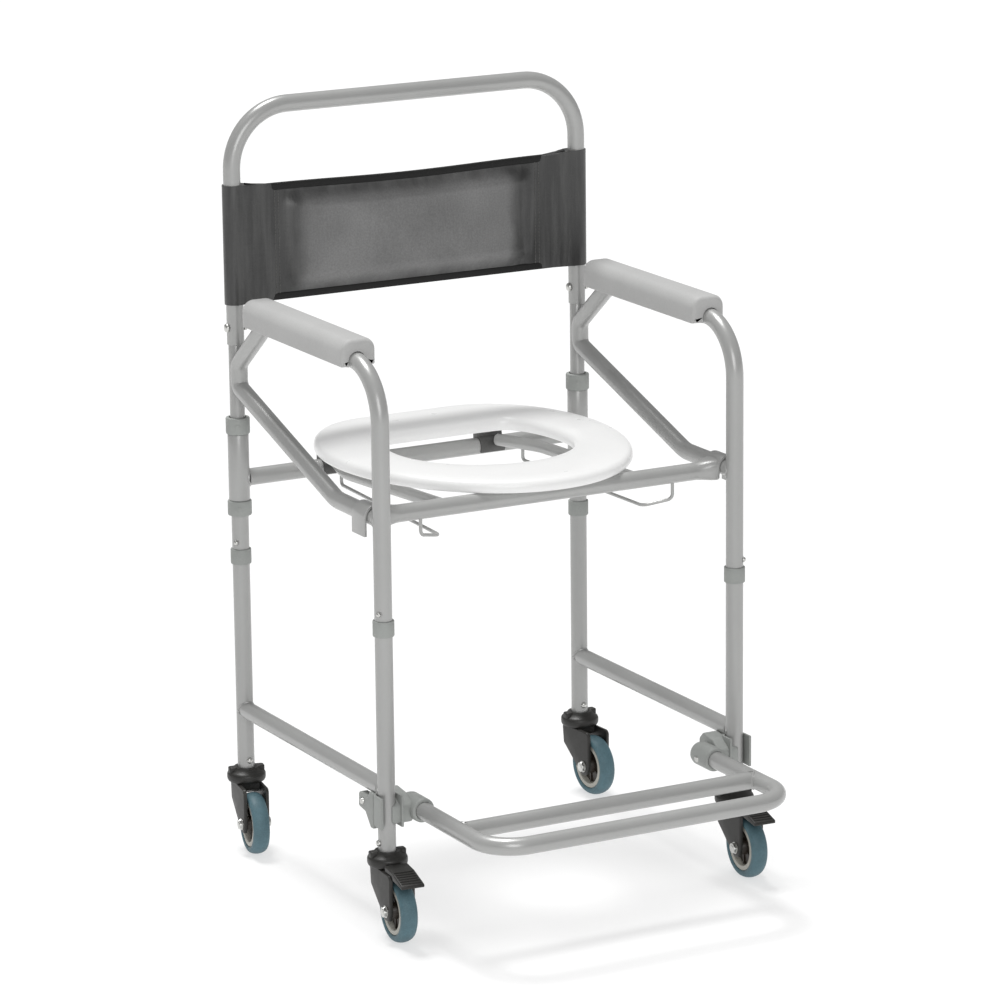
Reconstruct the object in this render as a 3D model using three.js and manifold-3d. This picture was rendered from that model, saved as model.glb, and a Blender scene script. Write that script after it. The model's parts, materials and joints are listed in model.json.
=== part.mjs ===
// Folding commode chair on four castors: two side frames with arm pads, a rear push handle
// with a padded back sling, a hinged seat frame with a lift-up seat ring and pan rails, and a
// removable U-shaped footrest. Millimetres, +Z up, front is -Y, the sitter's left is +X.
// Sizes are given from the middle of the four legs; the whole is then moved forward to the
// origin, which is on the floor under the middle of the overall box.

import * as THREE from 'three';
import { mergeVertices } from 'three/addons/utils/BufferGeometryUtils.js';
import Module from 'manifold-3d';

const wasm = await Module();
wasm.setup();

// ---- Driving dimensions ---------------------------------------------------------------

const GAP = 0.3;                      // clearance between pieces that touch
const SIDES = 12;                     // flats on a round tube
const LEG_X = 247;                    // leg axes, either side of the middle
const LEG_Y = 200;                    // leg axes, front and rear of the middle
const ORIGIN_SHIFT = 94.3;            // from the middle of the legs to that of the box
const TUBE_R = 11;
const BORE_R = 10.05;                 // at the corners of the twelve-sided bore
const BEND_STEP = 22;                 // degrees of bend per section of a bent tube

const LEG = { foot: 100, top: 379.7, spigotTop: 529, spigotR: 9.4, spigotBoreR: 8.4 };
const STRETCHER_Z = 184;
const UPPER_Z = 380;                  // lower end of the upper tubes
const HEIGHT_STEP = 25;
const HEIGHT_HOLES = 5;

const LEG_COLLAR = { r: 13.3, bottom: 378, top: 398 };
const BUTTON = { r: 3, z: 407, out: 13.6, holeR: 3.6, forward: 35 };

const ARM_Z = 707;
const LOOP = {
  frontBendR: 67, elbowY: 107, elbowR: 24, spineY: 192, shoulderZ: 640, shoulderR: 17,
  kneeZ: 610, kneeR: 12, tailY: -80, tailZ: 522, tailR: 60, notchR: 10.1,
};
const PAD = {
  front: -142, rear: 140, outer: 20, inner: 26, top: 733.5, bottom: 699.5, shoulderR: 15,
};

const UPRIGHT = { slimR: 9.5, slimBoreR: 8.5, swageBottom: 549, swageTop: 558, top: 738 };
const SLEEVE = { r: 13.5, bottom: 462, top: 548, boreR: 11.7 };
const CROSS_Z = 489.5;
const SLEEVE_COLLAR = { r: 15.4, low: [442, 461.7], high: [548.3, 570] };

const HANDLE = { bottom: 664, top: 965, bendR: 78, boreR: 10.15, boltZ: 686, boltR: 3 };
const SLING = { bottom: 716, top: 868, r: 13.2, boreR: 11.7, seamX: 187, half: 6.5 };

const BAR = { y: -166, z: 518, end: 233.6 };
const HOOK = { width: 34, innerR: 11.3, outerR: 15, drop: 23 };
const SIDE_RAIL = {
  r: 8, x: 141, bendY: 110, rearX: 118, rearY: 183, rearZ: 499, frontX: 134, frontZ: 515,
};
const WIRE_R = 2.2;
const PAN_RAIL = { barX: 177, x: 143, z: 479, rearX: 131.5, rearY: 140, rearTop: 492 };
const CLIP = { x: 114, width: 36, outerR: 13.4, pinY: 205, pinZ: 519, pinR: 3, earR: 6, slot: 19 };

const RING = {
  bottom: 529, top: 548, halfWidth: 192, widestY: 37, front: -205, rear: 218,
  rearHalf: 68, holeHalf: 118, holeWidestY: 8, holeFront: -111, holeRear: 112,
  holeRearHalf: 80,
};

const REST = {
  x: 207, z: 156, frontY: -403, innerY: -316, cornerR: 48, plugY: -186, r: 11,
};
const CLAMP = {
  bottom: 138, top: 178, r: 15.5, boreR: 11.7, split: 1, lipX: 12.4, lipFront: -216,
  barrelR: 15.4, barrelBoreR: 11.7, barrelFront: -222, barrelRear: -178, boreEnd: -183,
  plate: [
    [-190, 132], [-182, 132], [-168, 149], [-150, 152], [-151, 171], [-176, 171],
    [-179, 178], [-190, 178],
  ],
  plateX: 13.5,
  hump: [
    [-213, 141], [-172, 141], [-163, 150], [-163, 170], [-172, 179], [-205, 177],
    [-213, 169],
  ],
  humpX: 215,
};

const WHEEL = { r: 40, width: 22, trail: 34, rimR: 30, hubR: 12, boreR: 4.4 };
const CASTOR = {
  capR: 25, capBottom: 88.5, capTop: 107, stemR: 9.3, stemTop: 136, forkTop: 88.2,
  cheekX: 17, slotX: 12.6, axleR: 4, crownR: 18,
};
const CASTOR_TURN = { front_left: -3, front_right: -5, rear_left: 3, rear_right: -10 };
const PEDAL = { heelY: -27, kneeY: -49, toeY: -82, toeZ: 81.5, width: 30 };

// ---- Materials ------------------------------------------------------------------------

const finish = (color, roughness, metalness) =>
  new THREE.MeshStandardMaterial({ color, roughness, metalness });

const paint = finish(0xbfc1bd, 0.4, 0.1);
const greyPlastic = finish(0x959e98, 0.5, 0);
const blackPlastic = finish(0x2b2a28, 0.45, 0);
const padFoam = finish(0xcbcbc8, 0.55, 0);
const whitePlastic = finish(0xf2f2f0, 0.3, 0);
const blackVinyl = finish(0x2c2c2a, 0.5, 0);
const zincSteel = finish(0xb8b9b6, 0.3, 0.9);
const castorBlack = finish(0x363432, 0.5, 0);
const tealRubber = finish(0x4c6d78, 0.6, 0);
const hubPlastic = finish(0xa8a69d, 0.5, 0);

// ---- Curves and shapes ----------------------------------------------------------------

const rad = THREE.MathUtils.degToRad;
const v3 = (x, y, z) => new THREE.Vector3(x, y, z);

// A tube's centre line: a list of stations, each joined to the next by a straight.
class RoutePath extends THREE.Curve {
  constructor(stations) {
    super();
    this.stations = stations;
  }

  getPoint(t, target = new THREE.Vector3()) {
    const place = t * (this.stations.length - 1);
    const i = Math.min(Math.floor(place + 1e-9), this.stations.length - 2);
    return target.copy(this.stations[i]).lerp(this.stations[i + 1], place - i);
  }

  getPointAt(u, target) {
    return this.getPoint(u, target);
  }

  getTangentAt(u, target) {
    return this.getTangent(u, target);
  }
}

// Stations along corner points whose corners are rounded to the given radii.
function bentRoute(corners, radii) {
  const stations = [corners[0]];
  for (let i = 1; i < corners.length - 1; i += 1) {
    const back = corners[i - 1].clone().sub(corners[i]).normalize();
    const ahead = corners[i + 1].clone().sub(corners[i]).normalize();
    const half = back.angleTo(ahead) / 2;
    const setBack = radii[i - 1] / Math.tan(half);
    const centre = back.clone().add(ahead).normalize()
      .multiplyScalar(radii[i - 1] / Math.sin(half)).add(corners[i]);
    const start = corners[i].clone().addScaledVector(back, setBack).sub(centre);
    const end = corners[i].clone().addScaledVector(ahead, setBack).sub(centre);
    const turn = Math.PI - 2 * half;
    const steps = Math.max(2, Math.round(turn / rad(BEND_STEP)));
    for (let k = 0; k <= steps; k += 1) {
      const a = Math.sin(turn * (1 - k / steps)) / Math.sin(turn);
      const b = Math.sin(turn * (k / steps)) / Math.sin(turn);
      const arm = Math.abs(turn - Math.PI / 2) < 1e-9
        ? start.clone().multiplyScalar(Math.cos(turn * k / steps))
          .addScaledVector(end, Math.sin(turn * k / steps))
        : start.clone().multiplyScalar(a).addScaledVector(end, b);
      stations.push(centre.clone().add(arm));
    }
  }
  stations.push(corners[corners.length - 1]);
  return new RoutePath(stations);
}

function roundShape(radius, boreRadius = 0, sides = SIDES) {
  const rim = (r) => Array.from({ length: sides }, (_, i) => {
    const a = (2 * Math.PI * (i + 0.5)) / sides;
    return new THREE.Vector2(r * Math.cos(a), r * Math.sin(a));
  });
  const shape = new THREE.Shape(rim(radius));
  if (boreRadius > 0) shape.holes.push(new THREE.Path(rim(boreRadius)));
  return shape;
}

function tube(route, radius, boreRadius = 0, sides = SIDES) {
  return new THREE.ExtrudeGeometry(roundShape(radius, boreRadius, sides), {
    extrudePath: route, steps: route.stations.length - 1, bevelEnabled: false,
  });
}

const rod = (from, to, radius, boreRadius = 0, sides = SIDES) =>
  tube(new RoutePath([from, to]), radius, boreRadius, sides);

// A solid of revolution about Z, from [radius, z] points that start and end on the axis or
// close on themselves.
function turned(profile, sides = SIDES) {
  const points = profile.map(([r, z]) => new THREE.Vector2(r, z));
  return new THREE.LatheGeometry(points, sides).rotateX(Math.PI / 2);
}

function ringOf(outer, inner, bottom, top, sides = SIDES) {
  return turned([[inner, bottom], [outer, bottom], [outer, top], [inner, top],
    [inner, bottom]], sides);
}

function block(x0, x1, y0, y1, z0, z1) {
  const box = new THREE.BoxGeometry(x1 - x0, y1 - y0, z1 - z0);
  return box.translate((x0 + x1) / 2, (y0 + y1) / 2, (z0 + z1) / 2);
}

// An outline in the YZ plane, extruded along X from x0 to x1.
function slabAlongX(shape, x0, x1, curveSegments = 6) {
  const slab = new THREE.ExtrudeGeometry(shape, {
    depth: x1 - x0, bevelEnabled: false, curveSegments,
  });
  return slab.rotateX(Math.PI / 2).rotateZ(Math.PI / 2).translate(x0, 0, 0);
}

// An outline in the XZ plane, extruded along Y from y0 to y1.
function slabAlongY(shape, y0, y1, curveSegments = 6) {
  const slab = new THREE.ExtrudeGeometry(shape, {
    depth: y1 - y0, bevelEnabled: false, curveSegments,
  });
  return slab.rotateX(Math.PI / 2).translate(0, y1, 0);
}

// An outline in the XY plane, extruded up Z from z0 to z1.
function slabAlongZ(shape, z0, z1, curveSegments = 6) {
  const slab = new THREE.ExtrudeGeometry(shape, {
    depth: z1 - z0, bevelEnabled: false, curveSegments,
  });
  return slab.translate(0, 0, z0);
}

// ---- Joining and cutting --------------------------------------------------------------

function solid(geometry) {
  const bare = geometry.clone();
  bare.deleteAttribute('normal');
  bare.deleteAttribute('uv');
  const merged = mergeVertices(bare, 1e-4);
  const mesh = new wasm.Mesh({
    numProp: 3,
    vertProperties: new Float32Array(merged.attributes.position.array),
    triVerts: new Uint32Array(merged.index.array),
  });
  return new wasm.Manifold(mesh);
}

function surface(manifold) {
  const mesh = manifold.getMesh();
  const geometry = new THREE.BufferGeometry();
  geometry.setAttribute('position', new THREE.BufferAttribute(mesh.vertProperties, 3));
  geometry.setIndex(new THREE.BufferAttribute(mesh.triVerts, 1));
  geometry.computeVertexNormals();
  return geometry;
}

const joined = (geometries) =>
  geometries.map(solid).reduce((whole, next) => whole.add(next));

const cut = (geometries, cutters) => surface(
  cutters.map(solid).reduce((whole, cutter) => whole.subtract(cutter), joined(geometries)),
);

// ---- Assembly helpers -----------------------------------------------------------------

const chair = new THREE.Group();

function put(name, geometry, material, parent = chair) {
  const mesh = new THREE.Mesh(geometry, material);
  mesh.name = name;
  parent.add(mesh);
}

const SIDE_NAMES = [['left', 1], ['right', -1]];
const END_NAMES = [['front', -1], ['rear', 1]];

// The buttons and their holes face outward and a little forward on every leg.
function buttonDirection(side) {
  return v3(side * Math.cos(rad(BUTTON.forward)), -Math.sin(rad(BUTTON.forward)), 0);
}

function buttonHole(x, y, z, side) {
  const centre = v3(x, y, z);
  const away = centre.clone().addScaledVector(buttonDirection(side), 2 * TUBE_R);
  return rod(centre.addScaledVector(buttonDirection(side), 3), away, BUTTON.holeR, 0, 8);
}

// ---- Lower frame: legs, stretchers, castors -------------------------------------------

function lowerLegFrame(side) {
  const x = side * LEG_X;
  const solids = [rod(v3(x, -LEG_Y, STRETCHER_Z), v3(x, LEG_Y, STRETCHER_Z), TUBE_R)];
  const cutters = [rod(v3(x, -LEG_Y, STRETCHER_Z), v3(x, LEG_Y, STRETCHER_Z), BORE_R)];
  for (const [, end] of END_NAMES) {
    const y = end * LEG_Y;
    solids.push(turned([[0, LEG.foot], [TUBE_R, LEG.foot], [TUBE_R, LEG.top],
      [LEG.spigotR, LEG.top], [LEG.spigotR, LEG.spigotTop], [0, LEG.spigotTop]])
      .translate(x, y, 0));
    cutters.push(turned([[0, LEG.foot - 1], [BORE_R, LEG.foot - 1], [BORE_R, LEG.top - 12],
      [LEG.spigotBoreR, LEG.top - 8], [LEG.spigotBoreR, LEG.spigotTop + 1],
      [0, LEG.spigotTop + 1]]).translate(x, y, 0));
    for (let i = 0; i < HEIGHT_HOLES; i += 1) {
      cutters.push(buttonHole(x, y, BUTTON.z + i * HEIGHT_STEP, side));
    }
  }
  return cut(solids, cutters);
}

// A plug that fills the foot of the leg, with a thick collar round the tube.
function castorCap() {
  const socketR = TUBE_R + 2 * GAP;
  return turned([[0, CASTOR.capBottom], [CASTOR.capR - 3, CASTOR.capBottom],
    [CASTOR.capR, CASTOR.capBottom + 3], [CASTOR.capR, CASTOR.capBottom + 10],
    [CASTOR.capR - 7, CASTOR.capTop], [socketR, CASTOR.capTop], [socketR, LEG.foot - GAP],
    [CASTOR.stemR, LEG.foot - GAP], [CASTOR.stemR, CASTOR.stemTop],
    [0, CASTOR.stemTop]], 16);
}

// The fork in side view: two cheeks from a thin crown under the cap down to the axle, with
// an open window between them over the wheel.
function castorFork() {
  const axleY = -WHEEL.trail;
  const slotR = WHEEL.r + 2.5;
  const profile = new THREE.Shape();
  profile.moveTo(CASTOR.crownR, CASTOR.forkTop);
  profile.lineTo(CASTOR.crownR - 3, CASTOR.forkTop - 26);
  profile.lineTo(axleY + 12, WHEEL.r - 4);
  profile.absarc(axleY, WHEEL.r, 12, rad(-19), rad(-165), true);
  profile.lineTo(axleY - 13, CASTOR.forkTop);
  return cut(
    [slabAlongX(profile, -CASTOR.cheekX, CASTOR.cheekX, 4)],
    [
      rod(v3(-CASTOR.slotX, axleY, WHEEL.r), v3(CASTOR.slotX, axleY, WHEEL.r), slotR, 0, 16),
      block(-CASTOR.slotX, CASTOR.slotX, axleY - 60, CASTOR.crownR + 5, -5, WHEEL.r + 36),
      block(-CASTOR.slotX, CASTOR.slotX, axleY - 60, -CASTOR.crownR, 0, CASTOR.forkTop + 5),
      rod(v3(-30, axleY, WHEEL.r), v3(30, axleY, WHEEL.r), WHEEL.boreR, 0, 8),
    ],
  );
}

function castorAxle() {
  const reach = CASTOR.cheekX + 5;
  const shank = rod(v3(-reach, 0, 0), v3(reach - 2, 0, 0), CASTOR.axleR - 0.1, 0, 8);
  const nut = rod(v3(-reach + 0.5, 0, 0), v3(-CASTOR.cheekX - GAP, 0, 0), 7.4, 0, 6);
  const head = rod(v3(CASTOR.cheekX + GAP, 0, 0), v3(reach - 0.5, 0, 0), 7, 0, 8);
  return surface(joined([shank, nut, head])).translate(0, -WHEEL.trail, WHEEL.r);
}

function aboutAxle(geometry) {
  return geometry.rotateY(Math.PI / 2).translate(0, -WHEEL.trail, WHEEL.r);
}

function wheelHub() {
  const face = WHEEL.width / 2 - 2;
  const boss = WHEEL.width / 2 + 1;
  const halfWeb = 3;
  return aboutAxle(turned([[WHEEL.boreR, -boss], [WHEEL.hubR - 3, -boss],
    [WHEEL.hubR, -halfWeb], [WHEEL.rimR - 5, -halfWeb], [WHEEL.rimR - 3, -face],
    [WHEEL.rimR, -face], [WHEEL.rimR, face], [WHEEL.rimR - 3, face],
    [WHEEL.rimR - 5, halfWeb], [WHEEL.hubR, halfWeb], [WHEEL.hubR - 3, boss],
    [WHEEL.boreR, boss], [WHEEL.boreR, -boss]]));
}

function wheelTyre() {
  const half = WHEEL.width / 2;
  const inner = WHEEL.rimR + 0.9;
  return aboutAxle(turned([[inner, -half + 1], [WHEEL.r - 4, -half],
    [WHEEL.r - 0.8, -half + 4], [WHEEL.r, 0], [WHEEL.r - 0.8, half - 4],
    [WHEEL.r - 4, half], [inner, half - 1], [inner, -half + 1]], 20));
}

// The pedal in side view: its heel lies over the fork and its toe reaches forward.
function brakePedal() {
  const forkTop = CASTOR.forkTop + GAP;
  const plate = new THREE.Shape();
  plate.moveTo(PEDAL.heelY, forkTop + 8);
  plate.lineTo(PEDAL.kneeY, forkTop + 6);
  plate.lineTo(PEDAL.toeY, PEDAL.toeZ + 4.5);
  plate.lineTo(PEDAL.toeY, PEDAL.toeZ);
  plate.lineTo(PEDAL.kneeY, PEDAL.toeZ + 3);
  plate.lineTo(PEDAL.kneeY, forkTop);
  plate.lineTo(PEDAL.heelY, forkTop);
  return slabAlongX(plate, -PEDAL.width / 2, PEDAL.width / 2);
}

function addCastor(place, side, end, braked) {
  const castor = new THREE.Group();
  castor.position.set(side * LEG_X, end * LEG_Y, 0);
  castor.rotation.z = rad(CASTOR_TURN[place]);
  put(`castor_cap_${place}`, castorCap(), castorBlack, castor);
  put(`castor_fork_${place}`, castorFork(), castorBlack, castor);
  put(`castor_axle_${place}`, castorAxle(), zincSteel, castor);
  put(`wheel_hub_${place}`, wheelHub(), hubPlastic, castor);
  put(`wheel_tyre_${place}`, wheelTyre(), tealRubber, castor);
  if (braked) put(`brake_pedal_${place}`, brakePedal(), castorBlack, castor);
  chair.add(castor);
}

// ---- Side frames ----------------------------------------------------------------------

// Front leg, front bend, armrest, elbow, short upright on the rear leg, and the lower run
// that comes forward to the back of the front leg.
function sideLoop(side) {
  const x = side * LEG_X;
  const at = (y, z) => v3(x, y, z);
  const route = bentRoute([
    at(-LEG_Y, UPPER_Z), at(-LEG_Y, ARM_Z), at(LOOP.elbowY, ARM_Z),
    at(LOOP.spineY, LOOP.shoulderZ), at(LOOP.spineY, LOOP.kneeZ),
    at(LOOP.tailY, LOOP.tailZ), at(-LEG_Y + TUBE_R + GAP, LOOP.tailZ),
  ], [LOOP.frontBendR, LOOP.elbowR, LOOP.shoulderR, LOOP.kneeR, LOOP.tailR]);
  return cut([tube(route, TUBE_R, BORE_R)], [
    rod(at(LEG_Y, LOOP.kneeZ - 62), at(LEG_Y, LOOP.shoulderZ + 68), LOOP.notchR),
    buttonHole(x, -LEG_Y, BUTTON.z, side),
  ]);
}

function armPad(side) {
  const saddle = TUBE_R + GAP;
  const left = side > 0 ? PAD.inner : PAD.outer;
  const right = side > 0 ? PAD.outer : PAD.inner;
  const shoulderZ = PAD.top - PAD.shoulderR;
  const profile = new THREE.Shape();
  profile.moveTo(right, PAD.bottom);
  profile.lineTo(right, shoulderZ);
  profile.absarc(right - PAD.shoulderR, shoulderZ, PAD.shoulderR, 0, Math.PI / 2, false);
  profile.absarc(PAD.shoulderR - left, shoulderZ, PAD.shoulderR, Math.PI / 2, Math.PI, false);
  profile.lineTo(-left, PAD.bottom);
  profile.lineTo(-saddle, PAD.bottom);
  profile.absarc(0, ARM_Z, saddle, Math.PI, 0, true);
  profile.lineTo(saddle, PAD.bottom);
  return slabAlongY(profile, PAD.front, PAD.rear).translate(side * LEG_X, 0, 0);
}

function rearUpright(side) {
  const x = side * LEG_X;
  const shell = turned([[BORE_R, UPPER_Z], [TUBE_R, UPPER_Z], [TUBE_R, UPRIGHT.swageBottom],
    [UPRIGHT.slimR, UPRIGHT.swageTop], [UPRIGHT.slimR, UPRIGHT.top],
    [UPRIGHT.slimBoreR, UPRIGHT.top], [UPRIGHT.slimBoreR, UPRIGHT.swageTop],
    [BORE_R, UPRIGHT.swageBottom], [BORE_R, UPPER_Z]]).translate(x, LEG_Y, 0);
  return cut([shell], [
    buttonHole(x, LEG_Y, BUTTON.z, side),
    rod(v3(x - 20, LEG_Y, HANDLE.boltZ), v3(x + 20, LEG_Y, HANDLE.boltZ),
      HANDLE.boltR + 0.6, 0, 8),
  ]);
}

function snapButton(side, end) {
  const centre = v3(side * LEG_X, end * LEG_Y, BUTTON.z);
  const along = buttonDirection(side);
  return rod(centre.clone().addScaledVector(along, LEG.spigotR + GAP),
    centre.clone().addScaledVector(along, BUTTON.out), BUTTON.r, 0, 8);
}

const collar = (spec, x, y) =>
  ringOf(spec.r, TUBE_R + 2.2 * GAP, spec.bottom, spec.top).translate(x, y, 0);

// ---- Rear cross frame, push handle and sling ------------------------------------------

function rearCrossFrame() {
  const run = (reach, r) => rod(v3(-reach, LEG_Y, CROSS_Z), v3(reach, LEG_Y, CROSS_Z), r);
  const solids = [run(LEG_X - 5, TUBE_R)];
  const cutters = [run(LEG_X - 5, BORE_R)];
  for (const [, side] of SIDE_NAMES) {
    const post = (r, z0, z1) =>
      rod(v3(side * LEG_X, LEG_Y, z0), v3(side * LEG_X, LEG_Y, z1), r);
    solids.push(post(SLEEVE.r, SLEEVE.bottom, SLEEVE.top));
    cutters.push(post(SLEEVE.boreR, SLEEVE.bottom - 1, SLEEVE.top + 1));
  }
  return cut(solids, cutters);
}

function pushHandle() {
  const at = (x, z) => v3(x, LEG_Y, z);
  const route = bentRoute([
    at(-LEG_X, HANDLE.bottom), at(-LEG_X, HANDLE.top),
    at(LEG_X, HANDLE.top), at(LEG_X, HANDLE.bottom),
  ], [HANDLE.bendR, HANDLE.bendR]);
  const holes = SIDE_NAMES.map(([, side]) => rod(at(side * LEG_X - 20, HANDLE.boltZ),
    at(side * LEG_X + 20, HANDLE.boltZ), HANDLE.boltR + 0.6, 0, 8));
  return cut([tube(route, TUBE_R, HANDLE.boreR)], holes);
}

function handleBolt(side) {
  const x = side * LEG_X;
  const at = (dx) => v3(x + dx, LEG_Y, HANDLE.boltZ);
  return surface(joined([
    rod(at(-TUBE_R - 1), at(TUBE_R + 1), HANDLE.boltR, 0, 8),
    rod(at(-TUBE_R - 4), at(-TUBE_R - GAP), 5.5, 0, 10),
    rod(at(TUBE_R + GAP), at(TUBE_R + 4.5), 5.8, 0, 6),
  ]));
}

// In plan: a pocket round each handle leg that tapers to a seam, and a flat padded middle.
function backSling() {
  const plan = new THREE.Shape();
  const wrap = rad(75);
  plan.moveTo(-SLING.seamX, SLING.half / 2);
  plan.absarc(-LEG_X, 0, SLING.r, wrap, 2 * Math.PI - wrap, false);
  plan.lineTo(-SLING.seamX, -SLING.half / 2);
  plan.lineTo(-SLING.seamX + 12, -SLING.half);
  plan.lineTo(SLING.seamX - 12, -SLING.half);
  plan.lineTo(SLING.seamX, -SLING.half / 2);
  plan.absarc(LEG_X, 0, SLING.r, wrap - Math.PI, Math.PI - wrap, false);
  plan.lineTo(SLING.seamX, SLING.half / 2);
  plan.lineTo(SLING.seamX - 12, SLING.half);
  plan.lineTo(-SLING.seamX + 12, SLING.half);
  for (const [, side] of SIDE_NAMES) {
    const pocket = roundShape(SLING.boreR).getPoints();
    plan.holes.push(new THREE.Path(
      pocket.map((p) => new THREE.Vector2(p.x + side * LEG_X, p.y)),
    ));
  }
  return slabAlongZ(plan, SLING.bottom, SLING.top).translate(0, LEG_Y, 0);
}

// ---- Seat frame and seat ring ---------------------------------------------------------

// A round bar whose ends are pressed into inverted hooks that sit over the side frames.
function seatFrontBar() {
  const bar = rod(v3(-BAR.end, BAR.y, BAR.z), v3(BAR.end, BAR.y, BAR.z), TUBE_R);
  const hooks = SIDE_NAMES.map(([, side]) => {
    const shape = new THREE.Shape();
    shape.moveTo(-HOOK.outerR, -HOOK.drop / 2);
    shape.lineTo(-HOOK.innerR, -HOOK.drop / 2);
    shape.lineTo(-HOOK.innerR, 0);
    shape.absarc(0, 0, HOOK.innerR, Math.PI, 0, true);
    shape.lineTo(HOOK.innerR, -HOOK.drop);
    shape.lineTo(HOOK.outerR, -HOOK.drop);
    shape.absarc(0, 0, HOOK.outerR, 0, Math.PI, false);
    const hook = slabAlongY(shape, -HOOK.width / 2, HOOK.width / 2, 8);
    if (side < 0) hook.rotateZ(Math.PI);
    return hook.translate(side * LEG_X, BAR.y, LOOP.tailZ);
  });
  return surface(joined([bar, ...hooks]));
}

function seatSideRail(side) {
  const route = bentRoute([
    v3(side * SIDE_RAIL.rearX, SIDE_RAIL.rearY, SIDE_RAIL.rearZ),
    v3(side * SIDE_RAIL.x, SIDE_RAIL.bendY, SIDE_RAIL.rearZ + 3),
    v3(side * SIDE_RAIL.frontX, BAR.y + TUBE_R + GAP, SIDE_RAIL.frontZ),
  ], [110]);
  return tube(route, SIDE_RAIL.r, 0, 10);
}

function panRail(side) {
  const at = (x, y, z) => v3(side * x, y, z);
  const route = bentRoute([
    at(PAN_RAIL.barX, BAR.y, BAR.z - TUBE_R - GAP),
    at(PAN_RAIL.barX, BAR.y, PAN_RAIL.z + 8),
    at(PAN_RAIL.x, BAR.y + 16, PAN_RAIL.z),
    at(PAN_RAIL.rearX, PAN_RAIL.rearY, PAN_RAIL.z),
    at(PAN_RAIL.rearX, PAN_RAIL.rearY, PAN_RAIL.rearTop),
  ], [8, 14, 5]);
  return tube(route, WIRE_R, 0, 8);
}

// A clip that turns on the rear cross tube, with two ears and a pin for the seat ring.
function hingeClip(side) {
  const profile = new THREE.Shape();
  profile.absarc(LEG_Y, CROSS_Z, CLIP.outerR, rad(105), rad(395), false);
  profile.absarc(CLIP.pinY, CLIP.pinZ, CLIP.earR, rad(0), rad(180), false);
  const x = side * CLIP.x;
  const half = CLIP.width / 2;
  const clear = CLIP.slot / 2;
  const body = cut([slabAlongX(profile, x - half, x + half, 10)], [
    rod(v3(x - 30, LEG_Y, CROSS_Z), v3(x + 30, LEG_Y, CROSS_Z), TUBE_R + 2.5 * GAP),
    block(x - clear, x + clear, 170, 230, CROSS_Z + CLIP.outerR + 3, 560),
  ]);
  const pin = rod(v3(x - half + 1, CLIP.pinY, CLIP.pinZ), v3(x + half - 1, CLIP.pinY,
    CLIP.pinZ), CLIP.pinR, 0, 8);
  return surface(solid(body).add(solid(pin)));
}

// Outline of the ring or of its hole: a half ellipse in front, and a rear half that is drawn
// out to a straight rear edge.
function seatOutline(half, middleY, front, rear, rearHalf, steps) {
  const points = [];
  for (let i = 0; i <= steps; i += 1) {
    const a = (Math.PI * i) / steps;
    points.push([-half * Math.cos(a), middleY + (front - middleY) * Math.sin(a)]);
  }
  for (let i = 1; i <= steps / 2; i += 1) {
    const a = (Math.PI * i) / steps;
    points.push([rearHalf + (half - rearHalf) * Math.cos(a),
      middleY + (rear - middleY) * Math.sin(a)]);
  }
  const rearLeft = points.slice(-steps / 2).reverse().map(([x, y]) => [-x, y]);
  return [...points, ...rearLeft].map(([x, y]) => new THREE.Vector2(x, y));
}

function seatRing() {
  const shape = new THREE.Shape(seatOutline(RING.halfWidth, RING.widestY, RING.front,
    RING.rear, RING.rearHalf, 20));
  shape.holes.push(new THREE.Path(seatOutline(RING.holeHalf, RING.holeWidestY, RING.holeFront,
    RING.holeRear, RING.holeRearHalf, 16)));
  const parts = [slabAlongZ(shape, RING.bottom, RING.top)];
  const bores = [];
  for (const [, side] of SIDE_NAMES) {
    const at = (dx) => v3(side * CLIP.x + dx, CLIP.pinY, CLIP.pinZ);
    const x = side * CLIP.x;
    parts.push(rod(at(-8), at(8), CLIP.earR));
    parts.push(block(x - 8, x + 8, CLIP.pinY - 14, CLIP.pinY, CLIP.pinZ, RING.bottom + 2));
    bores.push(rod(at(-10), at(10), CLIP.pinR + 0.7, 0, 8));
  }
  return cut(parts, bores);
}

// ---- Footrest -------------------------------------------------------------------------

function footrestFrame() {
  const at = (x, y) => v3(x, y, REST.z);
  const loop = (plugY) => bentRoute([
    at(-REST.x, plugY), at(-REST.x, REST.frontY), at(REST.x, REST.frontY),
    at(REST.x, plugY),
  ], [REST.cornerR, REST.cornerR]);
  const bar = (r) => rod(at(-REST.x, REST.innerY), at(REST.x, REST.innerY), r);
  return cut([tube(loop(REST.plugY), REST.r), bar(REST.r)],
    [tube(loop(REST.plugY + 5), BORE_R), bar(BORE_R)]);
}

// Half of the clamp round a front leg and its stretcher, on the side of the leg that facing
// names: a band with a lip in front, and what reaches back from it.
function clampHalf(side, facing, extras, bores = []) {
  const x = side * LEG_X;
  const y = -LEG_Y;
  const band = ringOf(CLAMP.r, CLAMP.boreR - 1, CLAMP.bottom, CLAMP.top, 16).translate(x, y, 0);
  const lipEdges = [x + facing * CLAMP.lipX, x + facing * CLAMP.r].sort((a, b) => a - b);
  const lip = block(...lipEdges, CLAMP.lipFront, y, CLAMP.bottom, CLAMP.top);
  const otherHalf = facing > 0
    ? block(x - 60, x + CLAMP.split, y - 60, y + 80, 100, 240)
    : block(x - CLAMP.split, x + 60, y - 60, y + 80, 100, 240);
  return cut([band, lip, ...extras], [
    otherHalf,
    block(x - CLAMP.lipX, x + CLAMP.lipX, y - 30, y - 8, CLAMP.bottom - 1, CLAMP.top + 1),
    rod(v3(x, y, 100), v3(x, y, 240), CLAMP.boreR, 0, 16),
    rod(v3(x, y, STRETCHER_Z), v3(x, y + 70, STRETCHER_Z), CLAMP.boreR, 0, 16),
    ...bores,
  ]);
}

function outline(points) {
  return new THREE.Shape(points.map(([a, b]) => new THREE.Vector2(a, b)));
}

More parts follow.
